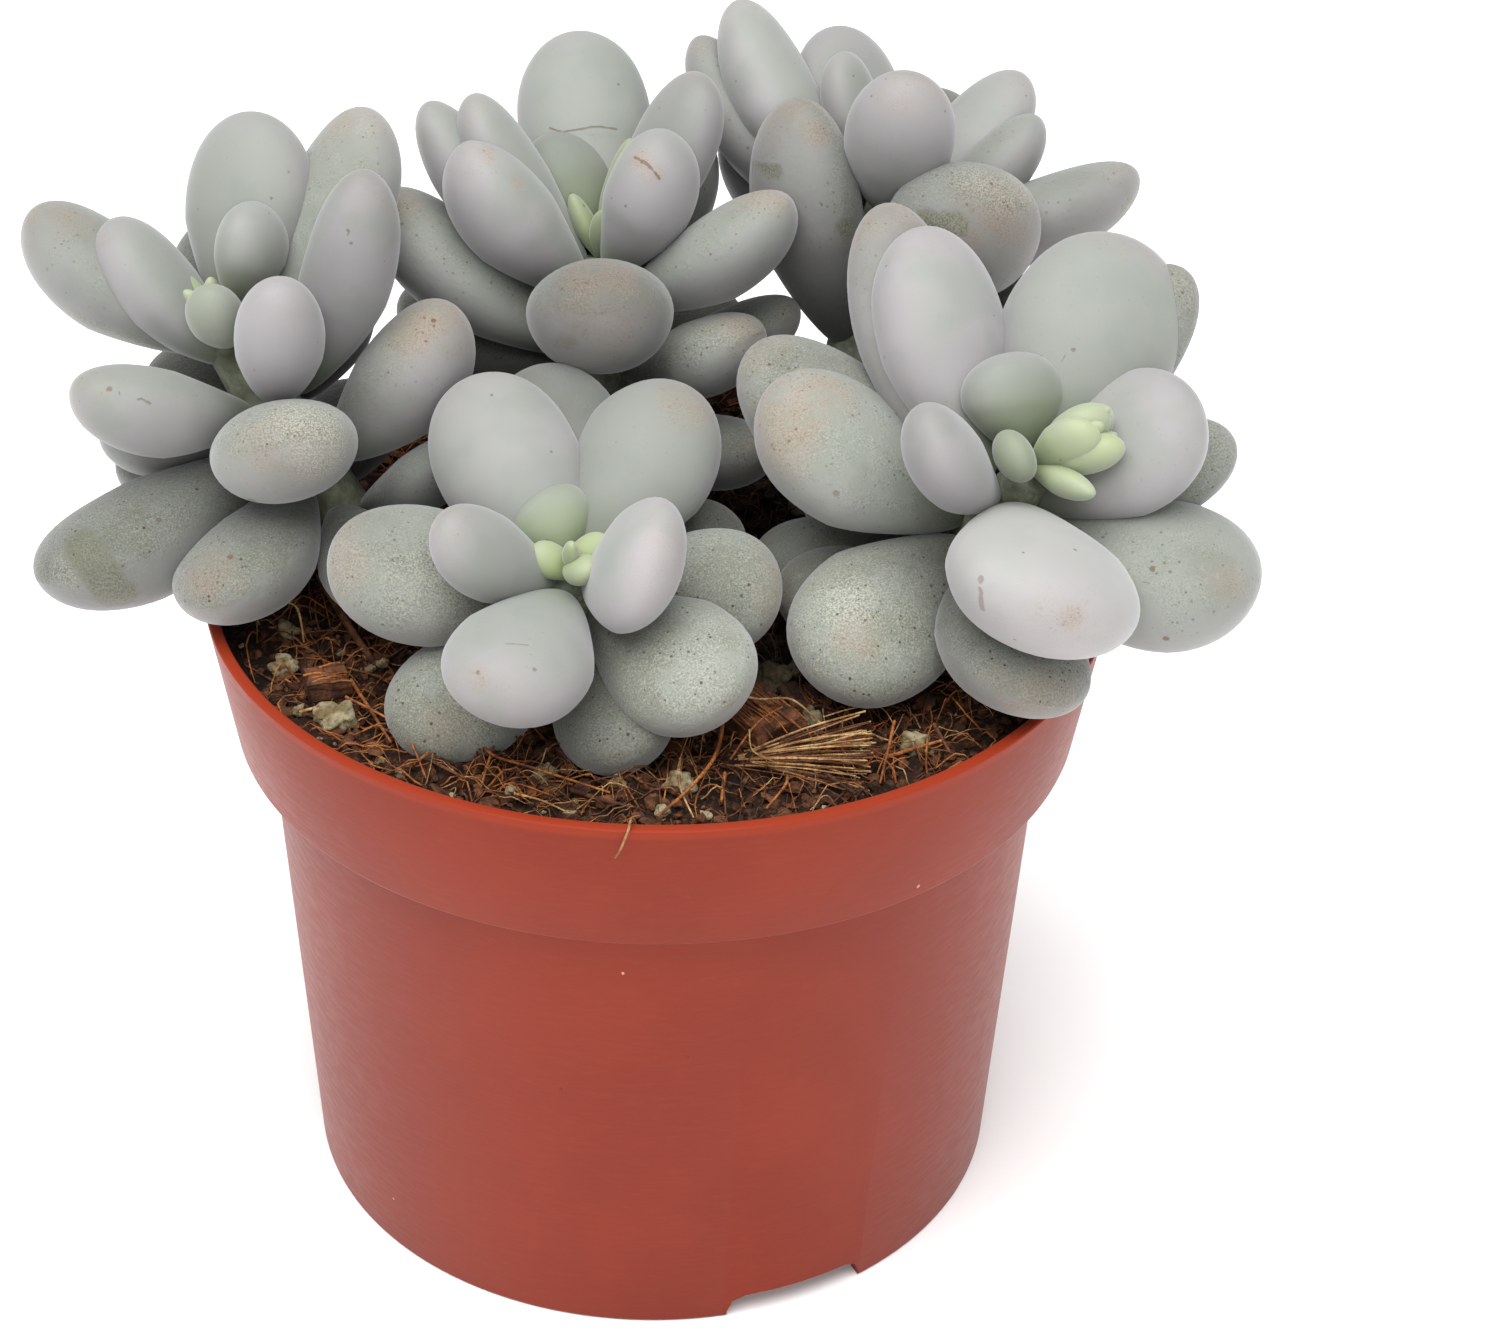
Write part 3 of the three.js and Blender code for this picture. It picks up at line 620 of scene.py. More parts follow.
def make_bloom_group():
    """The leaf's waxy skin: its tints, granular crust, specks, rubbed patches and scars, with painted
    shade.
    """
    group, given, out = new_group(
        "waxy_bloom",
        [("Bloom", "Color", colour(171, 175, 167)), ("Lilac", "Color", colour(183, 179, 181)),
         ("Green", "Color", colour(156, 172, 130)), ("Shade of age", "Color", colour(150, 156, 145)),
         ("Green reach", "Float", 0.42)],
        [("Colour", "Color"), ("Roughness", "Float"), ("Height", "Float")])
    where = in_millimetres(group)
    times = partial(calc, group, "MULTIPLY")
    plus = partial(calc, group, "ADD")
    minus = partial(calc, group, "SUBTRACT")
    larger = partial(calc, group, "MAXIMUM")
    smaller = partial(calc, group, "MINIMUM")
    ramp = partial(span, group)
    mixed = partial(blend, group)
    mottle = partial(grain, group, where)
    spots = partial(specked, group, where)
    share, upward, _ = parts_of(group, "leaf_place")
    age, seed, tone_and_shade = parts_of(group, "leaf_kind")
    rub, tan, dust = parts_of(group, "leaf_wear")
    near, strength, greenness = parts_of(group, "leaf_scar_near")
    cloud = mottle(0.085, 3.0, 0.55)
    soft = mottle(0.32, 4.0, 0.6)
    patch = mottle(0.9, 4.0, 0.65)
    fine = mottle(4.2, 3.0, 0.7)
    finest = mottle(9.0, 2.0, 0.6)
    aged = larger(age, 0.0)

    # Lilac round the rim, the underside and the tip; grey-green on the middle of the upper face.
    rim = ramp(plus(upward, times(soft, 0.3)), 0.15, 0.95, 1.0, 0.0)
    tip = ramp(share, 0.72, 1.0, 0.0, 0.75)
    rim = times(rim, ramp(share, 0.1, 0.5, 0.2, 1.0))
    lilac = larger(rim, tip)
    lilac = times(lilac, 0.75)
    lilac = plus(lilac, ramp(cloud, 0.3, 0.7, -0.25, 0.25))
    lilac = minus(lilac, smaller(greenness, 0.0), clamp=True)
    tint = mixed(lilac, given["Bloom"], given["Lilac"])
    cool = ramp(mottle(0.14, 2.0), 0.45, 0.7, 0.0, 0.45)
    tint = mixed(cool, tint, colour(159, 167, 157))
    upper = ramp(upward, -0.4, 0.6, 0.35, 1.0)
    crusted = times(aged, upper)
    tint = mixed(times(crusted, 0.85), tint, given["Shade of age"])
    pale = times(smaller(age, 0.0), -1.0)
    tint = mixed(pale, tint, colour(222, 219, 218))

    # The green of the young tissue at the leaf's root.
    root = ramp(plus(share, times(soft, 0.15)), 0.02, given["Green reach"], 1.0, 0.0)
    root = times(root, ramp(age, 0.0, 1.0, 0.8, 0.3))
    at_foot = times(greenness, ramp(share, 0.15, 0.85, 1.0, 0.05))
    root = larger(root, larger(at_foot, minus(greenness, 0.6)))
    tint = mixed(root, tint, given["Green"])

    # Olive stains on old skin, patches of fine granules, dark and cream by turns, and pale round blotches.
    stain = times(ramp(cloud, 0.46, 0.64), crusted)
    tint = mixed(times(stain, 0.55), tint, colour(122, 124, 102))
    where_crusted = ramp(plus(times(soft, 0.7), times(crusted, 0.35)), 0.42, 0.66)
    crust = times(where_crusted, ramp(crusted, 0.05, 0.7))
    dark_grain = times(ramp(fine, 0.5, 0.64), crust)
    tint = mixed(times(dark_grain, 0.52), tint, colour(108, 109, 92))
    cream_grain = times(ramp(fine, 0.5, 0.38), crust)
    tint = mixed(times(cream_grain, 0.5), tint, colour(206, 205, 186))
    blotch = spots(0.65, 0.3, 0.3)
    blotch = times(times(blotch, crusted), ramp(fine, 0.6, 0.4))
    tint = mixed(times(blotch, 0.5), tint, colour(188, 194, 172))

    # Tan blush with a grainy face, mostly near the tips.
    near_tip = ramp(plus(share, times(soft, 0.25)), 0.93, 1.15)
    near_tip = times(near_tip, ramp(seed, 0.1, 1.0, 0.0, 0.85, "LINEAR"))
    near_tip = times(near_tip, ramp(aged, 0.0, 0.4, 0.3, 1.0))
    blush = larger(tan, near_tip)
    blush = times(blush, ramp(soft, 0.3, 0.6, 0.35, 1.0), clamp=True)
    tint = mixed(times(blush, 0.7), tint, colour(188, 168, 148))
    tint = mixed(times(times(blush, ramp(fine, 0.5, 0.6)), 0.6), tint, colour(134, 114, 98))
    powder = times(dust, ramp(fine, 0.55, 0.42))
    tint = mixed(times(powder, 0.85), tint, colour(212, 210, 192))

    # Dark specks, many on old skin and very few on young.
    many = spots(1.1, 0.19, 0.6)
    few = spots(0.5, 0.09, 0.16)
    where_many = larger(crusted, times(blush, 0.6))
    dark = times(many, where_many)
    dark = times(dark, ramp(soft, 0.4, 0.56))
    dark = larger(dark, times(few, 0.5))
    tint = mixed(dark, tint, colour(70, 54, 38))

    # Patches where the bloom is rubbed off, with ragged edges, and brown scars.
    ragged = minus(plus(times(soft, 0.5), times(patch, 0.6)), 0.55)
    bare = times(ramp(plus(rub, ragged), 0.3, 0.75), calc(group, "GREATER_THAN", rub, 0.02))
    rubbed = mixed(ramp(fine, 0.42, 0.58), colour(104, 106, 76), colour(166, 166, 142))
    tint = mixed(times(bare, 0.75), tint, rubbed)
    away = put(group, "ShaderNodeAttribute", attribute_name="leaf_scar").outputs["Vector"]
    away = put(group, "ShaderNodeVectorMath", {0: away}, operation="LENGTH").outputs["Value"]
    away = plus(away, times(minus(patch, 0.5), 2.2))
    scarred = times(ramp(away, 1.25, 0.75), ramp(near, 0.0, 0.3))
    scarred = times(scarred, strength)
    tint = mixed(scarred, tint, colour(126, 94, 68))

    # The leaf's root lies in shade, deeper and further out on the old leaves low on the stem.
    low = ramp(aged, 0.3, 0.8)
    shaded_to = plus(0.4, times(low, 0.35))
    darkest = minus(0.62, times(low, 0.27))
    crevice = ramp(share, 0.0, shaded_to, darkest, 1.0)
    tint = mixed(1.0, tint, times(tone_and_shade, crevice), "MULTIPLY")
    group.links.new(tint, out["Colour"])

    # Old skin is rougher, with grit and wrinkles, and rubbed patches and scars are sunk in it.
    rough = ramp(crusted, 0.0, 1.0, 0.55, 0.7)
    rough = minus(rough, times(bare, 0.25))
    group.links.new(rough, out["Roughness"])
    grit = times(fine, plus(times(crust, 0.8), times(blush, 0.5)))
    wrinkles = times(patch, times(crusted, 2.0))
    height = plus(plus(times(finest, 0.1), grit), wrinkles)
    height = minus(height, times(bare, 0.6))
    height = minus(height, times(scarred, 0.9))
    group.links.new(height, out["Height"])
    return group


bloom = make_bloom_group()


def make_skin(name, **settings):
    material, tree, shader = new_material(name, Specular_IOR_Level=0.3, Sheen_Weight=0.42,
                                          Sheen_Roughness=0.45, Subsurface_Weight=0.12,
                                          Subsurface_Scale=0.0025)
    shader.inputs["Sheen Tint"].default_value = colour(234, 234, 238)
    shader.inputs["Subsurface Radius"].default_value = (0.8, 1.0, 0.6)
    skin = put(tree, "ShaderNodeGroup", settings, node_tree=bloom)
    tree.links.new(skin.outputs["Colour"], shader.inputs["Base Color"])
    tree.links.new(skin.outputs["Roughness"], shader.inputs["Roughness"])
    bumped(tree, shader, skin.outputs["Height"], 0.00012)
    return material


def make_under_plant_shade_group():
    """Paints shade, near black, on what lies under the plant's middle, fading out between 28 and 50 mm from
    it.
    """
    group, given, out = new_group("painted_shade_under_plant", [("Colour", "Color", (1, 1, 1, 1))], [("Colour", "Color")])
    away = put(group, "ShaderNodeVectorMath", {0: in_millimetres(group), 1: PAINTED_SHADE_MIDDLE + POT_AXIS},
               operation="SUBTRACT").outputs[0]
    level = put(group, "ShaderNodeVectorMath", {0: away, 1: (1, 1, 0)}, operation="MULTIPLY").outputs[0]
    distance = put(group, "ShaderNodeVectorMath", {0: level}, operation="LENGTH").outputs["Value"]
    shade_amount = span(group, distance, 28, 50, 0.78, 0.0)
    group.links.new(blend(group, shade_amount, given["Colour"], colour(14, 9, 7)), out["Colour"])
    return group


under_plant_shade = make_under_plant_shade_group()


# Adds the painted shade under the plant to a colour.
def shaded_under_plant(tree, tint):
    return put(tree, "ShaderNodeGroup", {"Colour": tint}, node_tree=under_plant_shade).outputs[0]


def make_plain_fibre(name, pale, dark):
    """Fibrous plant matter, mottled between two colours."""
    material, tree, shader = new_material(name, 0.8, Specular_IOR_Level=0.3)
    where = in_millimetres(tree)
    broad = grain(tree, where, 0.35, 3.0, 0.6)
    close = grain(tree, where, 2.2, 3.0, 0.65)
    tint = blend(tree, span(tree, broad, 0.35, 0.65), dark, pale)
    tint = blend(tree, calc(tree, "MULTIPLY", span(tree, close, 0.5, 0.62), 0.6), tint,
                 tuple(0.45 * c for c in dark[:3]) + (1,))
    # Painted shade under the plant darkens this colour.
    tree.links.new(shaded_under_plant(tree, tint), shader.inputs["Base Color"])
    bumped(tree, shader, close, 0.0002)
    return material


leaf_skin = make_skin("leaf_skin")
young_skin = make_skin("young_leaf_skin", **{
    "Bloom": colour(168, 180, 136), "Lilac": colour(176, 184, 152), "Green": colour(150, 170, 104),
    "Green reach": 0.9})
coir_pale = make_plain_fibre("coir_pale", colour(190, 154, 106), colour(134, 92, 54))
coir_golden = make_plain_fibre("coir_golden", colour(172, 106, 52), colour(106, 58, 28))
coir_rusty = make_plain_fibre("coir_rusty", colour(116, 68, 36), colour(64, 35, 20))
coir_brown = make_plain_fibre("coir_brown", colour(108, 66, 39), colour(52, 29, 18))


def make_pot_plastic():
    material, tree, shader = new_material("pot_plastic", Specular_IOR_Level=0.15, Sheen_Weight=0.07,
                                          Sheen_Roughness=0.35)
    shader.inputs["Sheen Tint"].default_value = colour(255, 226, 224)
    where = in_millimetres(tree)
    height = put(tree, "ShaderNodeSeparateXYZ", {0: where}).outputs[2]
    cloud = grain(tree, where, 0.04, 3.0)
    around = put(tree, "ShaderNodeMapping", {"Vector": where, "Scale": (0.6, 0.6, 3.0)}).outputs[0]
    drawn = grain(tree, around, 0.5, 4.0, 0.6)
    pores = grain(tree, where, 5.0, 2.0)
    tint = blend(tree, span(tree, cloud, 0.35, 0.65), colour(125, 42, 22), colour(119, 39, 21))
    # Lighter pink streaks along the wall are a painted sheen; the same streaks also vary the roughness and
    # relief.
    tint = blend(tree, span(tree, drawn, 0.45, 0.75, 0.0, 0.14), tint, colour(136, 68, 52))
    # The top of the lip is painted brighter and more orange: a painted highlight.
    tint = blend(tree, span(tree, height, LIP_LOW, LIP_LOW + 0.7), tint, colour(134, 44, 20))
    light_specks = specked(tree, where, 0.16, 0.03, 0.28)
    dark_specks = specked(tree, where, 0.13, 0.025, 0.22)
    tint = blend(tree, calc(tree, "MULTIPLY", light_specks, 0.6), tint, colour(226, 178, 156))
    tint = blend(tree, calc(tree, "MULTIPLY", dark_specks, 0.7), tint, colour(84, 30, 20))
    tree.links.new(tint, shader.inputs["Base Color"])
    tree.links.new(span(tree, drawn, 0.3, 0.7, 0.38, 0.48), shader.inputs["Roughness"])
    relief = calc(tree, "ADD", calc(tree, "MULTIPLY", pores, 0.5), drawn)
    bumped(tree, shader, relief, 0.000025)
    return material


def make_soil(name, pale, dark):
    material, tree, shader = new_material(name, 0.95, Specular_IOR_Level=0.2)
    where = in_millimetres(tree)
    clump = grain(tree, where, 0.22, 4.0, 0.6)
    crumb = grain(tree, where, 0.9, 4.0, 0.65)
    grit = grain(tree, where, 3.0, 3.0, 0.7)
    tint = blend(tree, span(tree, clump, 0.35, 0.65), dark, pale)
    tint = blend(tree, span(tree, crumb, 0.5, 0.7, 0.0, 0.7), tint, colour(104, 70, 44))
    tint = blend(tree, span(tree, grit, 0.55, 0.7, 0.0, 0.8), tint, colour(22, 13, 9))
    # Painted shade under the plant darkens this colour.
    tree.links.new(shaded_under_plant(tree, tint), shader.inputs["Base Color"])
    height = calc(tree, "ADD", crumb, calc(tree, "MULTIPLY", grit, 0.4))
    bumped(tree, shader, height, 0.0006)
    return material


def make_perlite():
    material, tree, shader = new_material("perlite", 0.9, Specular_IOR_Level=0.25, Subsurface_Weight=0.15,
                                          Subsurface_Scale=0.001)
    where = in_millimetres(tree)
    pores = grain(tree, where, 1.6, 4.0, 0.7)
    stain = grain(tree, where, 0.4, 2.0)
    tint = blend(tree, span(tree, stain, 0.35, 0.65), colour(154, 144, 116), colour(112, 98, 68))
    tint = blend(tree, span(tree, pores, 0.52, 0.66, 0.0, 0.8), tint, colour(84, 64, 42))
    # Painted shade under the plant darkens this colour.
    tree.links.new(shaded_under_plant(tree, tint), shader.inputs["Base Color"])
    bumped(tree, shader, pores, 0.0005)
    return material


def make_stem_bark():
    material, tree, shader = new_material("stem_bark", 0.8)
    where = in_millimetres(tree)
    streak = grain(tree, where, 0.5, 4.0, 0.6)
    tint = blend(tree, span(tree, streak, 0.35, 0.65), colour(108, 114, 98), colour(84, 86, 68))
    tree.links.new(tint, shader.inputs["Base Color"])
    bumped(tree, shader, streak, 0.0005)
    return material


pot_plastic = make_pot_plastic()
soil_bed_material = make_soil("coir_soil_bed", colour(44, 26, 17), colour(18, 11, 8))
soil_material = make_soil("coir_soil", colour(82, 51, 32), colour(40, 23, 14))
perlite_material = make_perlite()
stem_bark = make_stem_bark()


# The pot.


def rounded(corners):
    """Rounds an open outline of (radius, height, how far from the corner its rounding starts)."""
    steps = 3
    out = []
    for i, (x, z, reach) in enumerate(corners):
        here = Vector((x, z))
        if not reach:
            out.append(here)
            continue
        before = (Vector(corners[i - 1][:2]) - here).normalized() * reach
        after = (Vector(corners[i + 1][:2]) - here).normalized() * reach
        for k in range(steps + 1):
            t = k / steps
            out.append(here + before * (1 - t) ** 2 + after * t ** 2)
    return out


def add_drain_holes(cutters):
    """A ring of drills through the pot's floor, and one in its middle."""
    middle_height = (FLOOR_UNDERSIDE + FLOOR_TOP) / 2
    for i in range(DRAIN_RING_HOLES + 1):
        reach = 0 if i == DRAIN_RING_HOLES else DRAIN_RING_RADIUS
        angle = i * 2 * math.pi / DRAIN_RING_HOLES
        middle = Matrix.Translation((reach * math.cos(angle), reach * math.sin(angle), middle_height))
        bmesh.ops.create_cone(cutters, cap_ends=True, segments=32, radius1=DRAIN_HOLE_RADIUS,
                              radius2=DRAIN_HOLE_RADIUS, depth=4, matrix=middle)


def add_notches(cutters):
    """Blocks with two rounded upper edges, which cut the notches out of the foot ring."""
    below = 1
    depth = 12
    block_size = Matrix.Diagonal((depth, NOTCH_WIDTH, NOTCH_HEIGHT + below, 1))
    block_place = Matrix.Translation((FOOT_RADIUS, 0, (NOTCH_HEIGHT - below) / 2))
    for i in range(NOTCHES):
        turn = Matrix.Rotation(math.radians(FIRST_NOTCH_COMPASS + 360 / NOTCHES * i), 4, "Z")
        block = bmesh.ops.create_cube(cutters, size=1, matrix=turn @ block_place @ block_size)["verts"]
        tops = [v for v in block if v.co.z > NOTCH_HEIGHT / 2]
        outward = turn @ Vector((1, 0, 0))
        rim = [e for e in {e for v in tops for e in v.link_edges}
               if all(v in tops for v in e.verts)
               and abs((e.verts[0].co - e.verts[1].co).normalized().dot(outward)) > 0.9]
        bmesh.ops.bevel(cutters, geom=rim, offset=NOTCH_CORNER, segments=2, profile=0.5, affect="EDGES",
                        material=-1)


def apply_modifiers(target):
    """Makes what the modifiers show the piece's own mesh."""
    shown = target.evaluated_get(bpy.context.evaluated_depsgraph_get())
    finished = bpy.data.meshes.new_from_object(shown)
    target.modifiers.clear()
    old, target.data = target.data, finished
    finished.name = target.name
    bpy.data.meshes.remove(old)


def spun(outline, steps):
    """A closed solid from an outline of (radius, height) that starts and ends on the axis."""
    bm = bmesh.new()
    line = [bm.verts.new((r, 0, z)) for r, z in outline]
    edges = [bm.edges.new(pair) for pair in zip(line, line[1:])]
    bmesh.ops.spin(bm, geom=line + edges, cent=(0, 0, 0), axis=(0, 0, 1), angle=2 * math.pi, steps=steps,
                   use_merge=True)
    bmesh.ops.remove_doubles(bm, verts=bm.verts, dist=0.001)
    return bm


def make_pot():
    body_top = POT_HEIGHT - BAND_HEIGHT
    ledge = body_top + WALL
    corners = [
        (0, FLOOR_UNDERSIDE, 0),
        (FOOT_RADIUS - FOOT_RING_WIDTH, FLOOR_UNDERSIDE, 0.6),
        (FOOT_RADIUS - FOOT_RING_WIDTH, 0, 0.3),
        (FOOT_RADIUS, 0, 0.5),
        (BODY_TOP_RADIUS, body_top, 0.6),
        (BAND_FOOT_RADIUS, body_top, 0.5),
        (RIM_RADIUS, POT_HEIGHT, 0.55),
        (RIM_RADIUS - LIP_WIDTH, POT_HEIGHT, 0.35),
        (RIM_RADIUS - LIP_WIDTH, LIP_LOW, 0.6),
        (BAND_FOOT_RADIUS - WALL, ledge, 0.8),
        (BODY_TOP_RADIUS - WALL, ledge, 0.6),
        (FOOT_RADIUS - WALL, FLOOR_TOP, 0),
        (0, FLOOR_TOP, 0),
    ]
    steps = 192
    bm = spun(rounded(corners), steps)
    pot = piece("nursery_pot", bm, [pot_plastic], ["pot"])

    cutters = bmesh.new()
    add_drain_holes(cutters)
    add_notches(cutters)
    bmesh.ops.recalc_face_normals(cutters, faces=cutters.faces)
    bmesh.ops.transform(cutters, matrix=TO_FRAME, verts=cutters.verts)
    cuts = in_scene("pot_cuts", mesh_of("pot_cuts", cutters))
    cutting = pot.modifiers.new("cuts", "BOOLEAN")
    cutting.operation = "DIFFERENCE"
    cutting.solver = "EXACT"
    cutting.object = cuts
    apply_modifiers(pot)
    bpy.data.objects.remove(cuts)
    for polygon in pot.data.polygons:
        polygon.use_smooth = True
    pot.data.set_sharp_from_angle(angle=math.radians(38))


make_pot()


# The soil.


def crumbly(x, y):
    """How far the crumbs of the soil's surface stand above or below its even level."""
    place = Vector((x, y, 3.7))
    lumps = noise.fractal(place * 0.35, 0.9, 2.1, 4)
    cells = noise.voronoi(place * 0.42)[0]
    return 0.75 * lumps + 0.9 * (cells[1] - cells[0]) - 0.35


def make_soil_bed():
    """The soil from the pot's floor up, with its crumbly face."""
    ledge = POT_HEIGHT - BAND_HEIGHT + WALL + GAP
    share = (SOIL_EDGE_HEIGHT - ledge) / BAND_HEIGHT
    edge_radius = mix(BAND_FOOT_RADIUS - WALL, RIM_RADIUS - WALL, share) - GAP
    outline = [
        (0, FLOOR_TOP + GAP),
        (FOOT_RADIUS - WALL - GAP, FLOOR_TOP + GAP),
        (BODY_TOP_RADIUS - WALL - GAP, ledge),
        (BAND_FOOT_RADIUS - WALL - GAP, ledge),
    ]
    rings = 84
    steps = 260
    edge_band = 0.8
    crumbs_at_edge = 0.25
    outline += [(edge_radius * i / rings, SOIL_EDGE_HEIGHT) for i in range(rings, -1, -1)]
    bm = spun(outline, steps)
    for vert in bm.verts:
        if vert.co.z > SOIL_EDGE_HEIGHT - 1:
            x, y, _ = vert.co
            inner = 1 - smoothstep(math.hypot(x, y), edge_radius - edge_band, edge_radius)
            vert.co.z = soil_height(x, y) + crumbly(x, y) * mix(crumbs_at_edge, 1, inner)
    piece("coir_soil_bed", bm, [soil_bed_material], ["soil"])


def random_turn(rng, tilt):
    """Any turn about the upright, after a tilt of up to so many radians."""
    about = Matrix.Rotation(rng.uniform(0, FULL_TURN), 4, "Z")
    return about @ Matrix.Rotation(rng.uniform(-tilt, tilt), 4, "X")


def lump(size, rng, detail, rough):
    """A small rough lump as a mesh of its own."""
    bm = bmesh.new()
    verts = bmesh.ops.create_icosphere(bm, subdivisions=detail, radius=0.5)["verts"]
    shift = Vector((rng.uniform(0, 50), rng.uniform(0, 50), rng.uniform(0, 50)))
    for vert in verts:
        vert.co *= 1 + rough * 2 * noise.noise(vert.co * 3.2 + shift)
    stretch = Vector((1, rng.uniform(0.55, 1), rng.uniform(0.45, 0.9))) * size
    for vert in verts:
        vert.co = Vector(a * b for a, b in zip(vert.co, stretch))
    turn = random_turn(rng, 0.6)
    bmesh.ops.transform(bm, matrix=turn, verts=bm.verts)
    return bm


def gather(batches):
    """Joins many small meshes into one."""
    whole = bmesh.new()
    for batch in batches:
        mesh = mesh_of("batch", batch)
        whole.from_mesh(mesh)
        bpy.data.meshes.remove(mesh)
    return whole


def in_batches(count, make):
    """Calls make(bm) for each of many small things, a batch of them at a time, for speed."""
    batches = []
    for start in range(0, count, BATCH):
        bm = bmesh.new()
        for _ in range(start, min(start + BATCH, count)):
            make(bm)
        batches.append(bm)
    return gather(batches)


def random_spot(rng, reach):
    """A spot on the soil, no further than that from its middle."""
    while True:
        x = rng.uniform(-reach, reach)
        y = rng.uniform(-reach, reach)
        if math.hypot(x, y) < reach:
            return x, y


def make_crumbs(name, count, sizes, material, seed, rise=0.15, flat=(0.5, 0.9)):
    """Crumbs scattered on the soil, more of them small; rise and flat are shares of their size."""
    rng = random.Random(seed)

    def one(bm):
        size = rng.uniform(*sizes) if rng.random() < 0.75 else rng.uniform(sizes[0], sizes[0] * 1.5)
        x, y = random_spot(rng, CRUMB_REACH - size * 0.5)
        verts = bmesh.ops.create_icosphere(bm, subdivisions=1, radius=size / 2)["verts"]
        turn = random_turn(rng, 0.8)
        stretch = Matrix.Diagonal((rng.uniform(0.8, 1.4), rng.uniform(0.6, 1.1), rng.uniform(*flat), 1))
        height = soil_height(x, y) + crumbly(x, y) + size * rise
        for vert in verts:
            vert.co *= rng.uniform(0.72, 1.25)
        bmesh.ops.transform(bm, matrix=Matrix.Translation((x, y, height)) @ turn @ stretch, verts=verts)

    piece(name, in_batches(count, one), [material], smooth=False)


def make_fibre_piece(name, strands, material, replaces=()):
    """Thin fibres as one mesh: each strand is a list of points with a radius for each."""
    curve = bpy.data.curves.new(name, "CURVE")
    curve.dimensions = "3D"
    curve.bevel_depth = MM
    curve.bevel_resolution = 0
    curve.use_fill_caps = True
    for strand in strands:
        spline = curve.splines.new("POLY")
        spline.points.add(len(strand) - 1)
        for point, (place, radius) in zip(spline.points, strand):
            point.co = ((place + POT_AXIS) * MM).to_4d()
            point.radius = radius
    lines = in_scene(name + "_lines", curve)
    shown = lines.evaluated_get(bpy.context.evaluated_depsgraph_get())
    mesh = bpy.data.meshes.new_from_object(shown)
    mesh.name = name
    bpy.data.objects.remove(lines)
    mesh.materials.clear()
    mesh.materials.append(material)
    piece_of_mesh(name, mesh, replaces)


def loose_fibre(rng, length, radius, lift):
    """A fibre that lies on the soil, bending at random, with its ends down."""
    steps = 8
    x, y = random_spot(rng, FIBRE_START_REACH)
    heading = rng.uniform(0, 360)
    bend = rng.uniform(-90, 90)
    strand = []
    for i in range(steps + 1):
        t = i / steps
        if math.hypot(x, y) > FIBRE_REACH:
            x, y = x * FIBRE_REACH / math.hypot(x, y), y * FIBRE_REACH / math.hypot(x, y)
        ground = soil_height(x, y) + crumbly(x, y)
        z = ground + lift * math.sin(math.pi * t) + radius
        strand.append((Vector((x, y, z)), radius * (1 - 0.5 * t)))
        x += length / steps * math.cos(math.radians(heading))
        y += length / steps * math.sin(math.radians(heading))
        heading += bend / steps + rng.uniform(-14, 14)
    return strand


make_soil_bed()
make_crumbs("dark_crumbs", 2000, (0.6, 2.3), soil_material, 11)
make_crumbs("coir_crumbs", 1300, (0.4, 1.7), coir_brown, 12)
make_crumbs("husk_flakes", 420, (1.2, 3.6), coir_brown, 14, 0.18, (0.12, 0.3))
make_crumbs("rusty_flakes", 200, (0.6, 2.2), coir_rusty, 15, 0.2, (0.15, 0.4))
make_crumbs("pale_crumbs", 170, (0.4, 1.3), perlite_material, 13)


def make_fibres():
    """Fine fibres all over the soil, by name, number, lengths, radii and how high they arch."""
    rng = random.Random(21)
    kinds = [
        ("fine_brown_fibres", 760, (4, 15), (0.08, 0.2), (0.3, 2), coir_brown),
        ("fine_golden_fibres", 760, (3, 13), (0.06, 0.17), (0.4, 2.8), coir_golden),
        ("fine_pale_fibres", 300, (3, 11), (0.05, 0.12), (0.4, 2.4), coir_pale),
    ]
    for name, count, lengths, radii, lifts, material in kinds:
        strands = [loose_fibre(rng, rng.uniform(*lengths), rng.uniform(*radii), rng.uniform(*lifts))
                   for _ in range(count)]
        make_fibre_piece(name, strands, material)


make_fibres()


def along_path(points, radius, tip_share, steps=6):
    """A smooth strand through a few points, which thins to a share of its radius at its tip."""
    places = [Vector(p) for p in points]
    places = [places[0]] + places + [places[-1]]
    strand = []
    for i in range(len(places) - 3):
        a, b, c, d = places[i:i + 4]
        for k in range(steps):
            t = k / steps
            strand.append(0.5 * ((2 * b) + (c - a) * t + (2 * a - 5 * b + 4 * c - d) * t * t
                                 + (3 * b - a - 3 * c + d) * t ** 3))
    strand.append(places[-1])
    last = len(strand) - 1
    return [(p, radius * mix(1, tip_share, i / last)) for i, p in enumerate(strand)]


def make_tuft():
    """The bundle of coir fibres with its fanned, cut end."""
    at = (14, -38.5)
    middle_compass = -4
    fan = 46
    rise = 9
    reach = 15
    width = 3
    fibres = 54
    rng = random.Random(31)
    root = Vector((*at, soil_height(*at) + 0.6))
    pale = []
    brown = []
    for i in range(fibres):
        share = rng.uniform(-0.5, 0.5)
        compass = middle_compass + fan * share + rng.uniform(-3, 3)
        lift = rise + 12 * share + rng.uniform(-7, 7)
        length = reach * rng.uniform(0.86, 1.0)
        start = root + direction(compass + 90, 0) * (width * share)
        start += Vector((rng.uniform(-3, 1), 0, rng.uniform(-0.4, 0.4)))
        end = root + direction(compass, lift) * length
        middle = start.lerp(end, 0.5) + Vector((0, rng.uniform(-0.5, 0.5), rng.uniform(-0.2, 0.7)))
        strand = along_path([start, middle, end], rng.uniform(0.1, 0.2), 0.8, 4)
        (brown if i % 3 == 0 else pale).append(strand)
    make_fibre_piece("fanned_coir_fibres", pale, coir_pale, ["fibre_tuft"])
    make_fibre_piece("fanned_brown_fibres", brown, coir_rusty)


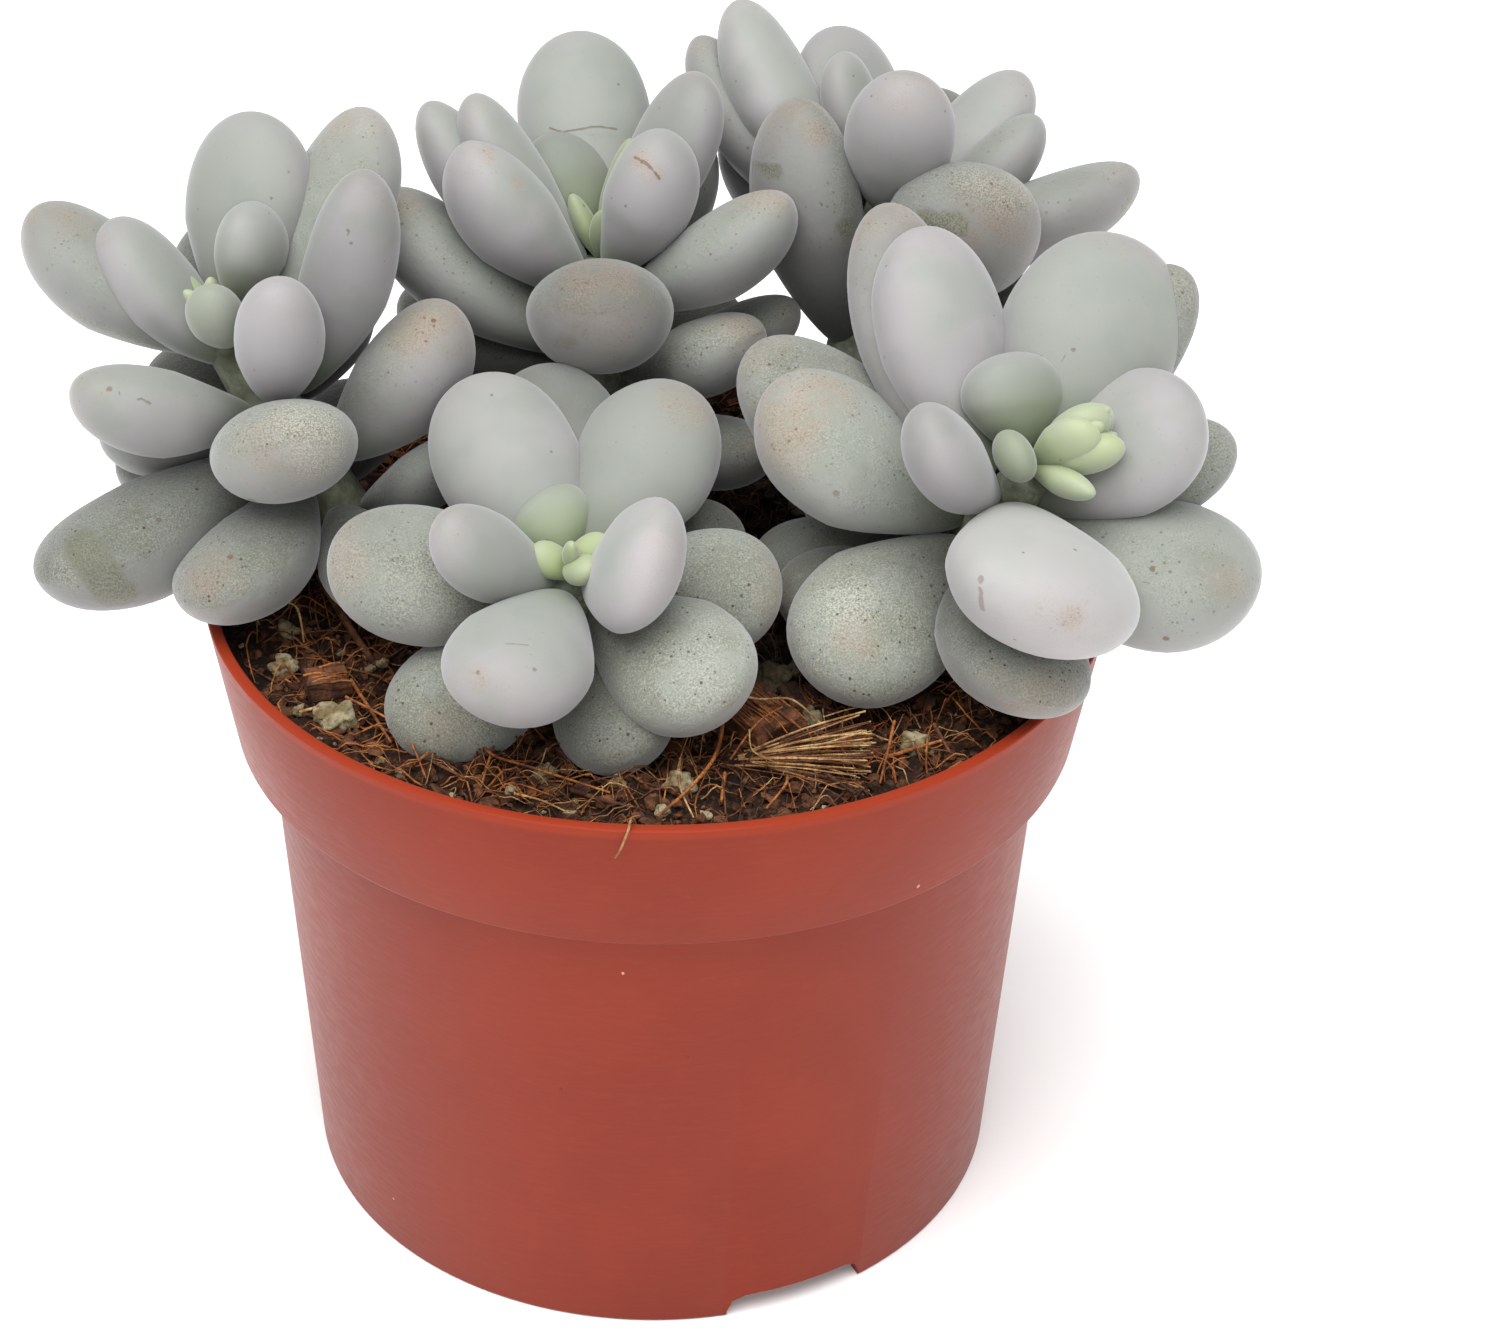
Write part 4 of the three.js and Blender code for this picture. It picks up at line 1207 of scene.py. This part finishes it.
def make_chunk(name, at, compass, size, material, node, seed, streaks):
    """A rough chunk, split along its grain, with strands standing out of it."""
    rng = random.Random(seed)
    length, width, height = size
    bm = bmesh.new()
    bmesh.ops.create_cube(bm, size=1)
    bmesh.ops.subdivide_edges(bm, edges=bm.edges[:], cuts=12, use_grid_fill=True)
    shift = Vector((seed, 0, 0))
    turn = Matrix.Translation((*at, soil_height(*at) + 0.3 * height))
    turn = turn @ Matrix.Rotation(math.radians(compass), 4, "Z")
    for vert in bm.verts:
        x, y, z = vert.co
        inward = 1 - 0.16 * (abs(2 * x) ** 4 + abs(2 * y) ** 4 + abs(2 * z) ** 4) / 3
        place = Vector((x * length, y * width, z * height)) * inward
        ridge = noise.noise(Vector((place.x * 0.12, place.y * 1.3, place.z * 1.3)) + shift)
        ragged = noise.noise(place * 0.5 + shift)
        place += Vector((0.8 * ragged, 0.35 * ridge, 0.55 * ridge + 0.3 * ragged))
        vert.co = place
    bmesh.ops.transform(bm, matrix=turn, verts=bm.verts)
    piece(name, bm, [material], [node], smooth=False)
    strands = []
    for _ in range(streaks):
        y = rng.uniform(-0.46, 0.46) * width
        x = rng.uniform(-0.5, 0.1) * length
        reach = rng.uniform(0.4, 0.62) * length
        top = 0.47 * height * (1 - (2 * y / width) ** 4 * 0.4)
        points = [Vector((x, y, top)), Vector((x + reach * 0.5, y + rng.uniform(-0.3, 0.3), top + 0.25)),
                  Vector((x + reach, y + rng.uniform(-0.4, 0.4), top + rng.uniform(-0.3, 0.3)))]
        strands.append(along_path([turn @ p for p in points], rng.uniform(0.1, 0.2), 0.7, 4))
    make_fibre_piece(name + "_strands", strands, coir_golden)


def make_perlite_grains():
    """The larger grains, by x, y and size."""
    grains = [
        (-39.5, -33, 4.6), (15.8, -20.4, 4.2), (19.2, -17.4, 3.4), (-12.7, -42.6, 3), (4.3, -44, 3.6),
        (20.8, -29.6, 3), (33.5, -34.2, 3.4), (-47.5, -20.5, 3.2),
    ]
    rng = random.Random(41)
    for i, (x, y, size) in enumerate(grains):
        bm = lump(size * 1.08, rng, 4, 0.3)
        bmesh.ops.translate(bm, vec=(x, y, soil_height(x, y) + 0.28 * size), verts=bm.verts)
        piece(f"perlite_{i + 1}", bm, [perlite_material], [f"perlite_grain_{i + 1}"])


make_tuft()
make_chunk("coir_chunk", (13.5, -29.5), -52, (12, 8.5, 5), coir_rusty, "coir_block", 5, 34)
make_chunk("bark_chip", (19, -24.6), -70, (6, 4.6, 2.4), coir_brown, "bark_flake", 6, 4)
make_chunk("coir_clump", (-41.5, -25.5), 20, (6, 5, 4), coir_brown, "coir_lump", 7, 8)
make_perlite_grains()


# Strands that stand out one by one: their radius, and the places that each runs through, by x, y and
# height above the soil.
SINGLE_STRANDS = {
    "long_golden_strands": (coir_golden, [
        (0.34, (9, -29.4, 4.2), (9.3, -35, 3.8), (8.4, -41.5, 3), (5.3, -48.6, 2.4), (1.8, -53.6, 1.8)),
        (0.17, (10.4, -40.8, 1.6), (13.6, -36.2, 4), (16.8, -32, 4.6)),
        (0.24, (17.6, -43.4, 1.8), (17.2, -47, 2), (15, -50.6, 1.4)),
        (0.3, (9.8, -42, 1), (9.5, -47.8, 1.4)),
        (0.34, (30.1, -38.1, 1.4), (36.8, -36.1, 2.2)),
        (0.24, (30.9, -33.6, 3.6), (30, -38.8, 2.6), (29, -44.4, 1.2)),
        (0.3, (-38.2, -26, 2.6), (-34.6, -32.6, 2), (-32, -38, 1.2)),
        (0.26, (-22.4, -34.9, 2.6), (-19.3, -40, 1.8), (-14, -43, 1.6), (-4.2, -47.4, 1)),
        (0.2, (-19.1, -37, 2), (-19.9, -44.4, 1.4), (-20.2, -48.8, 0.8)),
        (0.22, (-38.4, -30.4, 3.4), (-30.8, -36.8, 2), (-27, -45, 0.8)),
    ]),
    "long_pale_strands": (coir_pale, [
        (0.22, (9.6, -30.5, 5), (14, -29.6, 5), (18, -30.4, 4), (21.6, -31.8, 2.6)),
        (0.11, (3.8, -43, 1), (4.2, -39.9, 2), (5.9, -35.4, 3.4), (8.6, -35.6, 2.6)),
        (0.13, (12.7, -37.4, 4), (13.2, -40.6, 3.2), (16.2, -40.9, 3)),
        (0.18, (4.2, -40, 2), (4.4, -47.2, 1.8), (6.2, -52.2, 1)),
        (0.26, (-44, -33.1, 2), (-40.2, -31.2, 2.6)),
        (0.2, (-15.9, -48.6, 1.4), (-12.6, -49.6, 1.6), (-9.4, -51.8, 1)),
        (0.12, (22, -31, 3), (26, -29.4, 3.2), (29.4, -28.6, 3), (31, -31, 1.4)),
        (0.16, (-45.8, -13.2, 0.4), (-46.4, -13.2, 5.4), (-48.2, -13.2, 6.3), (-48.8, -13.2, 8.4),
         (-48.6, -13.2, 10.8), (-47.5, -13.2, 13.6)),
        (0.2, (-0.6, -55, 1), (-1.1, -58.4, 4.9), (-1.5, -60.2, 4.2), (-2.3, -60.7, 2), (-3, -60.5, 0.4)),
    ]),
    "long_brown_strands": (coir_brown, [
        (0.34, (36, -32.6, 2.6), (37.9, -37.2, 1.2)),
        (0.3, (-27, -41, 1.2), (-22, -46, 1.6)),
        (0.4, (-9, -45, 1), (-5, -49, 1.2), (-2, -50, 1)),
        (0.34, (22, -42, 1.2), (26, -47, 1.2)),
    ]),
}
TWIG_HALVES = [
    (0.75, (-44.5, -3.5, 4.4), (-40, -11.5, 2.6), (-35.5, -19.5, 0.4)),
    (0.6, (-43.6, -4, 3.4), (-39.2, -12, 1.8), (-35.2, -19.2, 0.1)),
]


def laid(radius, *places):
    """A strand through places given by x, y and height above the soil, or above its edge further out."""
    edge = 56
    points = [(x, y, soil_height(min(max(x, -edge), edge), max(y, -edge)) + rise) for x, y, rise in places]
    return along_path(points, radius, 0.65)


def make_single_strands():
    for name, (material, rows) in SINGLE_STRANDS.items():
        make_fibre_piece(name, [laid(*row) for row in rows], material)
    make_fibre_piece("split_twig", [laid(*row) for row in TWIG_HALVES], coir_brown, ["twig"])


def make_small_perlite():
    """The smaller grains that lie about the soil, by x, y and size."""
    spots = [
        (-16.5, -46.9, 2), (5.1, -37.5, 1.5), (-3.4, -43.8, 2.2), (-35, -18.8, 1.8), (-36.4, -20, 1.4),
        (-48.3, -10.7, 3), (-30.5, -43.5, 1.8), (-33, -41.6, 1.4), (-44.4, -30.9, 1.8), (-8.6, -45.9, 1.3),
        (21.5, -29.8, 2), (17.4, -24, 2.2), (-41, -16, 1.4), (-9, -50.6, 1.5), (2.4, -50.6, 1.8),
        (7.6, -50.2, 1.6), (27, -35, 1.4), (-24, -47, 1.4),
    ]
    rng = random.Random(42)
    grains = []
    for x, y, size in spots:
        bm = lump(size, rng, 3, 0.35)
        bmesh.ops.translate(bm, vec=(x, y, soil_height(x, y) + crumbly(x, y) + 0.3 * size), verts=bm.verts)
        grains.append(bm)
    piece("small_perlite", gather(grains), [perlite_material])


make_single_strands()
make_small_perlite()


# The plant.


def make_stalk(stem):
    """The bare stem, from deep in the soil to the crown."""
    deep = stem.base - Vector((0, 0, STEM_DEPTH))
    path = [deep, stem.base, stem.base.lerp(stem.top, 0.35), stem.base.lerp(stem.top, 0.7), stem.top]
    stalk = leaf_mesh()
    add_tube(stalk, path, [STEM_RADIUS * share for share in (1.1, 1.1, 1, 0.95, 0.7)], 20)
    for face in stalk.faces:
        face.material_index = 1
    return stalk


def make_leafy_stem(name, plan, number):
    stem = Stem(plan)
    rng = random.Random(100 + number)
    parts = []
    for i, row in enumerate(plan["leaves"]):
        key = (name, i + 1)
        shape = LeafShape(stem, row, stem.facing, LEAF_FLATNESS, LEAF_START, LEAF_SAG)
        small = shape.length < SMALL_LEAF_LENGTH
        # Painted shade and light go into the leaf's tone: darker for low leaves and for leaves under
        # others.
        tone_and_shade = STEM_TONES[name] * LEAF_TONES_AND_SHADE.get(key, 1)
        if i + 1 >= FIRST_LOW_LEAF[name]:
            tone_and_shade *= LOW_LEAF_SHADE
        seed = 0 if small else rng.random()
        parts.append(make_leaf(shape, WEAR[name][i], seed, tone_and_shade, GREENNESS.get(key, 0), MARKS.get(key, ()),
                               *(SMALL_LEAF_MESH if small else LEAF_MESH)))
    piece(f"{name}_rosette", gather(parts + [make_stalk(stem)]), [leaf_skin, stem_bark],
          [f"leafy_stem_{name}"])


def make_young_leaves(name, plan, number):
    stem = Stem(plan)
    rng = random.Random(200 + number)
    parts = []
    for row in plan["young"] + FOLDED.get(name, []):
        shape = LeafShape(stem, row, stem.tip, YOUNG_FLATNESS, YOUNG_START, 0)
        shape.pointed = YOUNG_POINT * smoothstep(shape.length / shape.width, *SLENDER)
        parts.append(make_leaf(shape, 0, 0.1 * rng.random(), YOUNG_TONES[name], 0, (), *YOUNG_LEAF_MESH))
    piece(f"{name}_young_leaves", gather(parts), [young_skin], [f"growing_tip_{name}"])


for number, (name, plan) in enumerate(STEMS.items()):
    make_leafy_stem(name, plan, number)
    make_young_leaves(name, plan, number)


# Floor, light and camera.


def make_floor():
    bm = bmesh.new()
    bmesh.ops.create_grid(bm, x_segments=1, y_segments=1, size=3)
    mesh = mesh_of("floor", bm)
    material, _, shader = new_material("pale_floor", 0.9, Specular_IOR_Level=0.1)
    shader.inputs["Base Color"].default_value = (0.98, 0.98, 0.98, 1)
    mesh.materials.append(material)
    floor = in_scene("floor", mesh)


def add_light(name, size, power, place, aim):
    data = bpy.data.lights.new(name, "AREA")
    data.shape = "DISK"
    data.size = size
    data.energy = power
    lamp = in_scene(name, data)
    lamp.location = place
    lamp.rotation_euler = (Vector(aim) - Vector(place)).to_track_quat("-Z", "Y").to_euler()


def add_camera():
    """The camera, in millimetres about the pot's axis, worked out from the pot's rim, band and foot."""
    distance = 499.45
    elevation = math.radians(32.97)
    roll = math.radians(1.43)
    target = Vector((12.59, 0, 75.21))
    focal_length_px = 3691.5
    photo_width_px = 1500
    sensor_width = 36
    back = Vector((0, -math.cos(elevation), math.sin(elevation)))
    level_up = Vector((0, math.sin(elevation), math.cos(elevation)))
    right = math.cos(roll) * Vector((1, 0, 0)) + math.sin(roll) * level_up
    up = math.cos(roll) * level_up - math.sin(roll) * Vector((1, 0, 0))
    data = bpy.data.cameras.new("camera")
    data.sensor_width = sensor_width
    data.lens = focal_length_px / photo_width_px * sensor_width
    data.clip_start = 0.01
    camera = in_scene("camera", data)
    turn = Matrix((right, up, back)).transposed().to_4x4()
    camera.matrix_world = Matrix.Translation((target + back * distance + POT_AXIS) * MM) @ turn
    bpy.context.scene.camera = camera


def light_room():
    world = bpy.data.worlds.new("white_room")
    bpy.context.scene.world = world
    world.use_nodes = True
    background = world.node_tree.nodes["Background"]
    background.inputs["Color"].default_value = (1, 1, 1, 1)
    background.inputs["Strength"].default_value = 0.6
    add_light("overhead_softbox", 2.4, 70, (-0.25, -0.5, 2.0), (0, 0, 0))
    add_light("front_softbox", 0.8, 4, (0.15, -1.2, 0.6), (0, 0, 0.08))


make_floor()
add_camera()
light_room()
bpy.context.scene.view_settings.view_transform = "Standard"
